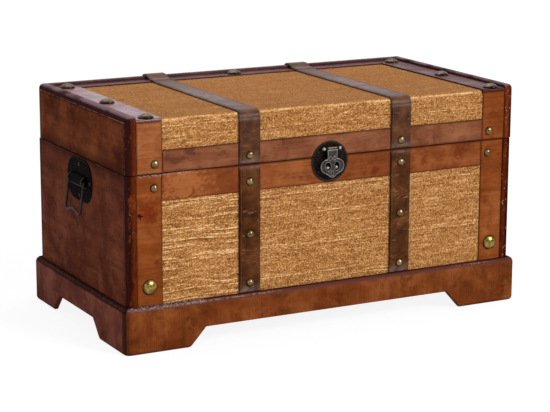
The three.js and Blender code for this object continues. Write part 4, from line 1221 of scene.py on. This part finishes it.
bronze = cast_metal("bronze", (18, 14, 11), (36, 29, 24), (104, 92, 74), 0.3, 0.3, gloss=0.06)
plate_bronze = cast_metal("bronze_plate", (9, 7, 5), (20, 14, 11), (84, 66, 54), 0.0, 0.2, 0.5, 0.008)
bronze_wire = cast_metal("bronze_wire", (30, 20, 16), (68, 52, 46), (176, 150, 136), 0.5, 0.6, gloss=0.2)
# Lighter bronze for the brackets' lips: painted highlights on their edges
bronze_lip_highlight = cast_metal("bronze_lip_highlight", (62, 50, 45), (116, 98, 90), (206, 188, 176), 0.4, 0.6, gloss=0.3)
pewter = cast_metal("pewter_cast", (46, 42, 41), (86, 80, 77), (190, 182, 174), worn=0.45)
bright_metal = cast_metal("pewter_bright", (160, 152, 146), (206, 200, 192), (236, 232, 224), roughness=0.3)
worn_metal = cast_metal("pewter_worn", (130, 122, 116), (186, 178, 170), (226, 220, 212), roughness=0.34)
painted_highlight_brass = cast_metal("painted_highlight_brass", (176, 160, 110), (214, 200, 150), (246, 238, 200), 0.35, roughness=0.3)
old_brass = cast_metal("old_brass", (132, 112, 66), (190, 168, 110), (236, 220, 170), roughness=0.3)
PLAIN_CROWN = 0.25


# Latch
LATCH_THICKNESS = 1.6
LATCH_DIAMETER = 70.0
LATCH_WAVES = 10
RIVET_DIAMETER = 4.6
RIVET_RISE = 1.3
RIVET_CIRCLE = 27
RIVET_SUNK = 0.75
RIVET_TURNS = (38, 142, 218, 322)
EAR_DIAMETER = 6.6
EAR_THICKNESS = 1.5
EAR_STARTS = (11.6, -10.1)
EAR_ROUND = 0.3
HASP_EDGE = 0.3
STUD_DIAMETER = 4.4
STUD_HEAD = 6.0
STUD_HEAD_HEIGHT = 2.6
STUD_ROOT = 0.8
STUD_DROP = 2.4
PIN_DIAMETER = 3.0
BALL_DIAMETER = 6.2
BARREL_DIAMETER = 6.4
BARREL_LENGTH = 19.4
BARREL_GROOVES = (-5.2, 0.0, 5.2)
SEAM_TURN = math.radians(32)
SEAM_RADIUS = 0.7
SEAM_SUNK = 0.3
SEAM_INSET = 1.6
HASP_THICKNESS = 2.0
BEAD_RISE = 0.5
HASP_NECK = 20.6
HASP_WAIST = 18.4
HASP_WAIST_RISE = 17.5
CHEEK_TURNS = (math.radians(13), math.radians(50))
LOBE_DROP = 30.0
LOBE_DIAMETER = 25.0
LOBE_SPACING = 20.4
CHIN_DROP = 41.0
CHIN_DIAMETER = 17.0
NECK_TOP = LOBE_DROP - 1.5
HOLE_SIZE = (10.4, 15.0)
HOLE_SPACING = 16.6
RIM_BEAD = 0.62
HOLE_BEAD = 0.36
FIGURE_BEAD = 0.42
OUTLINE_STEPS = 180


def make_latch():
    lower, upper, pin_box = box("latch_lower_plate"), box("latch_upper_plate"), box("latch_pin")
    x, back = (lower[0].x + lower[1].x) / 2, upper[1].y
    radius = LATCH_DIAMETER / 2
    centre_z = upper[1].z - radius
    pin, face = (pin_box[0] + pin_box[1]) / 2, box("latch_hasp")[0].y
    disc = Outline(LATCH_DIAMETER)
    halves = (
        ("latch_lower_plate", "base", -1.0, (lower[1].z - centre_z) / radius),
        ("latch_upper_plate", "lid", (upper[0].z - centre_z) / radius, 1.0),
    )
    for node, body, low, high in halves:
        relief = engraved(disc, LATCH_THICKNESS, LATCH_WAVES)
        solid, raised = relief_plate(disc, (x, back, centre_z), AXIS_X, UP, relief, low, high, 90, 100)
        piece = new_piece(node + "_cast", solid, bronze, body, (node,))
        add_values(piece, "crown", raised / LATCH_THICKNESS, PLAIN_CROWN)
    turns = np.radians(RIVET_TURNS)
    for index, (u, v) in enumerate(arc(x, centre_z, RIVET_CIRCLE, RIVET_CIRCLE, turns)):
        place, body = (u, back - RIVET_SUNK, v), "lid" if v > centre_z else "base"
        size = (RIVET_DIAMETER, RIVET_RISE, turns[index])
        make_screw(f"latch_rivet_{index + 1}", place, AXIS_X, *size, bronze_wire, body)
    rise = EAR_DIAMETER / 2
    ear = [(0, -rise), *arc(back - pin.y, 0, rise, rise, half_turn(17)), (0, rise)]
    ears = [prism(ear, (pin.x + start, back, pin.z), FRONT, UP, EAR_THICKNESS) for start in EAR_STARTS]
    softened(new_piece("latch_ears", joined(ears), bronze, "lid"), EAR_ROUND)
    lobe_z, length = pin.z - LOBE_DROP, back - face
    shaft, neck = STUD_DIAMETER / 2, length - STUD_HEAD_HEIGHT
    head = arc(0, neck, STUD_HEAD / 2, STUD_HEAD_HEIGHT, np.linspace(-0.3, math.pi / 2 - 0.12, 9))
    profile = [(0, STUD_ROOT), (shaft, STUD_ROOT), (shaft, neck - 0.8), *head, (0, length)]
    for index, sign in enumerate((-1, 1)):
        place = (x + sign * HOLE_SPACING / 2, back, lobe_z - STUD_DROP)
        stud = turned(profile, place, FRONT, 28)
        new_piece(f"latch_stud_{index + 1}", stud, bright_metal, "base")
    ball, shaft = BALL_DIAMETER / 2, PIN_DIAMETER / 2
    tip = (pin_box[1].x - pin_box[0].x) / 2
    inner = tip - BALL_DIAMETER
    knob = arc(0, tip - ball, ball, ball, np.linspace(0.46, math.pi - 0.12, 14) - math.pi / 2)
    mirrored = [(r, -h) for r, h in knob][::-1]
    profile = [(0, -tip), *mirrored, (shaft, -inner - 0.1), (shaft, inner + 0.1), *knob, (0, tip)]
    solid = turned(profile, pin, AXIS_X, 32)
    new_piece("latch_pin_turned", solid, bright_metal, "lid", ("latch_pin",))
    make_hasp(x, face, lobe_z)
    make_barrel(x, pin)


def dot(first, second):
    return (first * second.conjugate()).real


def segment_reach(ray, start, end, inset):
    """Distance along a ray from zero to a line between two points, moved toward zero by an inset"""
    step = end - start
    normal = -1j * step / abs(step)
    if dot(normal, start) < 0:
        normal = -normal
    if dot(normal, ray) <= 0:
        return 0.0
    reach = (dot(normal, start) - inset) / dot(normal, ray)
    share = dot(reach * ray - start, step) / abs(step) ** 2
    return reach if -0.1 <= share <= 1.1 else 0.0


def neck_reach(ray, inset):
    """Distance along a ray to the edge of the hasp's waisted neck"""
    top = (NECK_TOP - inset) / ray.imag
    reach = top
    for _ in range(12):
        share = (reach * ray.imag - HASP_WAIST_RISE) / (NECK_TOP - HASP_WAIST_RISE)
        half = HASP_WAIST / 2 + (HASP_NECK - HASP_WAIST) / 2 * share ** 2
        side = (half - inset) / max(abs(ray.real), 1e-6)
        reach = min(0.5 * (reach + side), top)
    return reach


def hasp_outline(inset):
    """Outer edge of the hasp about the point between its lobes, moved inward by an inset"""
    chin = (LOBE_DROP - CHIN_DROP) * 1j
    lobe = LOBE_SPACING / 2
    rounds = ((-lobe, LOBE_DIAMETER), (lobe, LOBE_DIAMETER), (chin, CHIN_DIAMETER))
    start = lobe - 1j * LOBE_DIAMETER / 2 * np.exp(1j * CHEEK_TURNS[0])
    end = chin - 1j * CHIN_DIAMETER / 2 * np.exp(1j * CHEEK_TURNS[1])
    cheeks = ((-start.conjugate(), -end.conjugate()), (start, end))
    points = []
    for step in range(OUTLINE_STEPS):
        ray = np.exp(1j * (2 * math.pi * step / OUTLINE_STEPS - math.pi / 2))
        reaches = [segment_reach(ray, *cheek, inset) for cheek in cheeks]
        for centre, diameter in rounds:
            near = dot(ray, centre)
            under = near ** 2 - abs(centre) ** 2 + (diameter / 2 - inset) ** 2
            if under > 0:
                reaches.append(near + math.sqrt(under))
        if ray.imag > 0.3:
            reaches.append(neck_reach(ray, inset))
        point = max(reaches) * ray
        points.append((point.real, point.imag))
    return points


def make_hasp(x, face, lobe_z):
    places = (-HOLE_SPACING / 2, HOLE_SPACING / 2)
    outlines = [hasp_outline(0), *(circle(place, 0, *HOLE_SIZE) for place in places)]
    placing = (AXIS_X, UP, (x, face + (HASP_THICKNESS + BEAD_RISE) / 2, lobe_z))
    plate = (outlines, HASP_THICKNESS - BEAD_RISE, HASP_EDGE, placing)
    sheet_plate("hasp_plate", *plate, pewter, "hasp", "pewter", ("latch_hasp",))
    cosines, sines = ring(60)
    doubled = 2 * cosines * sines
    leaf = [*zip(3.4 * sines * (1.25 - 0.5 * sines ** 2), 4.4 * cosines - 11.8)]
    scroll = [*zip(6.2 * cosines, 3.4 * doubled + 13.6)]
    width, height = (size + 0.9 for size in HOLE_SIZE)
    lines = [(hasp_outline(0.9), RIM_BEAD)]
    lines += [(circle(place, 0, width, height), HOLE_BEAD) for place in places]
    lines += [(leaf, FIGURE_BEAD), (scroll, FIGURE_BEAD)]
    beads = []
    for loop, radius in lines:
        route = [(x + u, face + radius, lobe_z + v) for u, v in (*loop, *loop[:2])]
        beads.append(tube(route, radius, 8))
    new_piece("hasp_beads", joined(beads), worn_metal, "hasp")


def make_barrel(x, pin):
    """The hasp's rolled barrel round the pin, with grooves and a thin raised seam along its top, coloured
    bright as a painted highlight
    """
    half, outer, bore = BARREL_LENGTH / 2, BARREL_DIAMETER / 2, PIN_DIAMETER / 2 + 0.2
    profile = [(bore, -half), (outer - 0.4, -half), (outer, -half + 0.4)]
    for groove in BARREL_GROOVES:
        profile += [(outer, groove - 0.7), (outer - 0.5, groove), (outer, groove + 0.7)]
    profile += [(outer, half - 0.4), (outer - 0.4, half), (bore, half)]
    barrel = new_piece("hasp_barrel", bored(profile, pin, AXIS_X, 32), pewter, "hasp")
    add_values(barrel, "crown", np.zeros(1), PLAIN_CROWN)
    # Painted highlight: a thin raised seam in bright brass along the barrel's top
    reach = outer - SEAM_SUNK
    y, z = pin.y - reach * math.cos(SEAM_TURN), pin.z + reach * math.sin(SEAM_TURN)
    seam = tube([(x + sign * (half - SEAM_INSET), y, z) for sign in (-1, 1)], SEAM_RADIUS, 10)
    new_piece("hasp_barrel_highlight_seam", seam, painted_highlight_brass, "hasp")


make_latch()


# Handles
HANDLE_OUTLINE = Outline(106.0, 73.0, 33.0)
HANDLE_THICKNESS = 2.0
HANDLE_WAVES = 14
HANDLE_SCREW = (6.4, 1.9)
SCREW_ACROSS = 44.5
SCREW_UP = 26.5
SCREW_PROUD = 1.0
BRACKET_LENGTH = 58.6
BRACKET_RADIUS = 9.5
BRACKET_SHELL = 1.5
BRACKET_BAND = 4.7
BRACKET_SUNK = 0.4
BRACKET_DIP = -0.55
BRACKET_RIM_DIP = -0.35
FLUTE_DEPTH = 0.22
CHEEK_THICKNESS = 1.2
CHEEK_INSET = 1.6
CHEEK_EDGE = 0.2
LIP_INSET = 0.6
LIP_RADIUS = 0.55
LIP_TURN = 1.25
LOW_LIP_TURN = -1.0
BAIL_WIDTH = 64.0
BAIL_WIRE = 4.2
BAIL_PROUD = 4.7
BAIL_DROP = 54.0
BAIL_CORNER = 6.0
BAIL_BOW = 5.0
BAIL_TILT = math.radians(8.5)
BAIL_SEAT = 5.0
STOP_SIZE = (7.0, 3.4, 0.9)
STOP_DROP = 8.0
STOP_EDGE = 0.4
STOP_LIFT = 0.3


def bail_route():
    """(y, z) points of the wire from one end to the other, about its pivot"""
    leg = BAIL_WIDTH / 2
    seat = BRACKET_LENGTH / 2 - BAIL_SEAT
    bow_half = leg - BAIL_CORNER
    corners = [
        (seat, 0, 0), (leg, 0, leg - BRACKET_LENGTH / 2), (leg, -BAIL_DROP, BAIL_CORNER),
        (bow_half - 0.1, -BAIL_DROP, 0),
    ]
    half = rounded_path(corners, 0.8)[1]
    shares = np.linspace(0, 1, 44)[1:-1]
    lift = BAIL_BOW / 2 * (1 - np.cos(2 * math.pi * shares))
    bow = np.stack([bow_half * (1 - 2 * shares), lift - BAIL_DROP], axis=1)
    return np.concatenate([half, bow, half[::-1] * [-1, 1]])


def bracket_shell(centre, across, outward):
    """Half-round housing, open at its ends, with a raised band near each end"""
    centre, across, outward, up = (np.array(vector, float) for vector in (centre, across, outward, UP))
    half = BRACKET_LENGTH / 2
    start = np.array([0, 0.5, 4.4, 5.0]) - half
    stations = np.concatenate([start, np.linspace(5.6 - half, half - 5.6, 24), -start[::-1]])
    inset = half - np.abs(stations)
    band = np.where(inset < BRACKET_BAND, 0.0, BRACKET_DIP)
    band[[0, -1]] = BRACKET_RIM_DIP
    angles = half_turn(33)

    def grid(reach):
        rise = (reach * np.cos(angles))[..., None] * outward + (reach * np.sin(angles))[..., None] * up
        return (centre + stations[:, None, None] * across + rise).transpose(1, 0, 2)

    flutes = FLUTE_DEPTH * np.cos(9 * angles) * (inset > 6)[:, None]
    inner = np.full((len(stations), len(angles)), BRACKET_RADIUS - BRACKET_SHELL)
    return slab(grid(BRACKET_RADIUS + band[:, None] + flutes), grid(inner))


def bracket_highlight_lips(face, outward):
    """The rolled lips: around each end of the bracket and along its lower side, in lighter bronze as painted
    highlights on these edges
    """
    half = BRACKET_LENGTH / 2 - LIP_INSET
    reach = BRACKET_RADIUS - LIP_INSET

    def rim(along, turn):
        return face + Vector((0, along, reach * math.sin(turn))) + outward * (reach * math.cos(turn))

    routes = [[rim(end, turn) for turn in np.linspace(-LIP_TURN, LIP_TURN, 21)] for end in (-half, half)]
    routes.append([rim(-half, LOW_LIP_TURN), rim(half, LOW_LIP_TURN)])
    return joined([tube(route, LIP_RADIUS, 8) for route in routes])


def make_handle(side, sign):
    prefix = f"handle_{side}_"
    low, high = box(prefix + "plate")
    outward, across = Vector((sign, 0, 0)), Vector((0, sign, 0))
    centre = (low + high) / 2
    centre.x = low.x if sign > 0 else high.x
    relief = engraved(HANDLE_OUTLINE, HANDLE_THICKNESS, HANDLE_WAVES)
    solid, raised = relief_plate(HANDLE_OUTLINE, centre, across, UP, relief, rows=90, columns=110)
    plate = new_piece(prefix + "plate_cast", solid, plate_bronze, "base", (prefix + "plate",))
    add_values(plate, "crown", raised / HANDLE_THICKNESS, PLAIN_CROWN)
    face = centre + outward * HANDLE_THICKNESS
    shell = bracket_shell(face - outward * BRACKET_SUNK, across, outward)
    new_piece(prefix + "bracket", shell, plate_bronze, "base")
    new_piece(prefix + "bracket_highlight_lips", bracket_highlight_lips(face, outward), bronze_lip_highlight, "base")
    radius, bore = BRACKET_RADIUS - 0.5, BAIL_WIRE + 0.9
    loops = [arc(0, 0, radius, radius, half_turn(25)), circle(BAIL_PROUD, 0, bore, bore, 24)]
    reach = HANDLE_THICKNESS + BAIL_PROUD + STOP_DROP * math.tan(BAIL_TILT) - BAIL_WIRE / 2 - 0.4

    def screw(label, offset, angle):
        place = centre + offset + outward * SCREW_PROUD
        make_screw(prefix + "screw_" + label, place, across, *HANDLE_SCREW, angle, bronze_wire, "base")

    for label, end in (("front", -1), ("back", 1)):
        place = face + Vector((0, end * (BRACKET_LENGTH / 2 - CHEEK_INSET), 0))
        placing = (outward, UP if sign * end < 0 else -UP, place)
        cheek = (loops, CHEEK_THICKNESS, CHEEK_EDGE, placing)
        sheet_plate(prefix + "cheek_" + label, *cheek, plate_bronze, "base")
        place = centre + outward * (reach / 2 + STOP_LIFT) + Vector((0, end * BAIL_WIDTH / 2, -STOP_DROP))
        stop = ([rounded_rectangle(*STOP_SIZE)], reach - 2 * STOP_LIFT, STOP_EDGE, (across, UP, place))
        sheet_plate(prefix + "stop_" + label, *stop, bronze_wire, "base")
        screw(label, Vector((0, end * SCREW_ACROSS, 0)), 0.6 + end)
    for label, end in (("top", 1), ("bottom", -1)):
        screw(label, UP * end * SCREW_UP, 0.2 + end)
    pivot = face + outward * BAIL_PROUD
    along, drop = bail_route().T
    out = -sign * drop * math.sin(BAIL_TILT)
    route = np.stack([pivot.x + out, pivot.y + along, pivot.z + drop * math.cos(BAIL_TILT)], axis=1)
    wire = tube(route, BAIL_WIRE / 2, 16)
    new_piece(prefix + "bail_wire", wire, bronze_wire, f"bail_{side}", (prefix + "bail",))


for side, sign in SIDES:
    make_handle(side, sign)


# Hinges and stays keep their solids, with softened edges and screws
LEAF_PROUD = 1.8
HINGE_SCREW = (6.0, 1.1)
HINGE_SCREWS = ((-19, 8), (0, 14), (19, 8))


def make_hinges():
    face = box("body_back")[1].y + LEAF_PROUD
    for side, _ in SIDES:
        for part, body, inward in (("lower", "base", 1), ("upper", "lid", -1)):
            node = f"hinge_{side}_{part}"
            dressed(node, old_brass, HINGE_ROUND)
            low, high = box(node)
            edge = low.z if inward > 0 else high.z
            for index, (shift, depth) in enumerate(HINGE_SCREWS):
                place = ((low.x + high.x) / 2 + shift, face, edge + inward * depth)
                name, angle = f"{node}_screw_{index + 1}", 0.5 + index
                make_screw(name, place, -AXIS_X, *HINGE_SCREW, angle, old_brass, body, "antique_brass")
        for part in ("stud", "pivot", "arm"):
            dressed(f"stay_{side}_{part}", old_brass, STAY_ROUND)


make_hinges()


# Studio, in metres
FLOOR_SIZE = 24.0
FLOOR_TONE = (0.80, 0.80, 0.80, 1)
FLOOR_GLOW = 0.89
SKY_STRENGTH = 0.33
SHADOW_TONE = (0.18, 0.18, 0.18, 1)
SKY_TONE = (0.95, 0.97, 1.0, 1)


def make_floor():
    """A floor that looks white to the camera and keeps the chest's shadow"""
    half = FLOOR_SIZE / 2
    places = [(-half, -half, 0), (half, -half, 0), (half, half, 0), (-half, half, 0)]
    mesh = bpy.data.meshes.new("floor")
    mesh.from_pydata(places, [], [(0, 1, 2, 3)])
    placed("floor", mesh)
    shader = Shader("floor")
    plain = shader.add("ShaderNodeBsdfDiffuse", {"Color": FLOOR_TONE})
    shaded = shader.add("ShaderNodeBsdfDiffuse", {"Color": SHADOW_TONE})
    glow = shader.add("ShaderNodeEmission", {"Strength": FLOOR_GLOW})
    seen = shader.add("ShaderNodeAddShader", {0: shaded, 1: glow})
    by_camera = shader.add("ShaderNodeLightPath", output="Is Camera Ray")
    surface = shader.add("ShaderNodeMixShader", {0: by_camera, 1: plain, 2: seen})
    shader.add("ShaderNodeOutputMaterial", {"Surface": surface}, None)
    mesh.materials.append(shader.material)


def make_lamp(name, kind, direction, power, place=(0, 0, 0), **settings):
    data = bpy.data.lights.new(name, kind)
    data.energy = power
    for key, value in settings.items():
        setattr(data, key, value)
    turn = Vector(direction).to_track_quat("-Z", "Y").to_matrix().to_4x4()
    placed(name, data).matrix_world = Matrix.Translation(place) @ turn


def make_world():
    """Plain light, white to the camera, and darker in front for what mirrors it"""
    sky = Shader("studio", bpy.data.worlds)
    direction = sky.add("ShaderNodeTexCoord", output="Generated")
    forward = sky.add("ShaderNodeSeparateXYZ", {0: direction}, "Y")
    inputs = {"Value": forward, "From Min": -0.3, "From Max": 0.45, "To Min": 0.30, "To Max": 1.0}
    strength = SKY_STRENGTH
    for ray, value in (("Is Glossy Ray", sky.add("ShaderNodeMapRange", inputs)), ("Is Camera Ray", 1.0)):
        by_ray = sky.add("ShaderNodeLightPath", output=ray)
        strength = sky.add("ShaderNodeMix", {"Factor": by_ray, "A": strength, "B": value}, data_type="FLOAT")
    surface = sky.add("ShaderNodeBackground", {"Color": SKY_TONE, "Strength": strength})
    sky.add("ShaderNodeOutputWorld", {"Surface": surface}, None)
    bpy.context.scene.world = sky.material


def make_studio():
    bpy.context.scene.view_settings.view_transform = "Standard"
    make_world()
    make_floor()
    make_lamp("key", "SUN", (-0.45, 0.75, -0.52), 1.95, angle=math.radians(24))
    make_lamp("fill", "AREA", (2.6, 2.2, -1.0), 9, (-2.6, -2.2, 1.2), shape="RECTANGLE", size=1.4, size_y=1.4)
    make_lamp(
        "top", "AREA", (-0.3, -0.9, -2.3), 26, (0.3, 0.9, 2.6), shape="RECTANGLE", size=2.4, size_y=1.4,
        color=(0.95, 0.96, 1.0),
    )


make_studio()
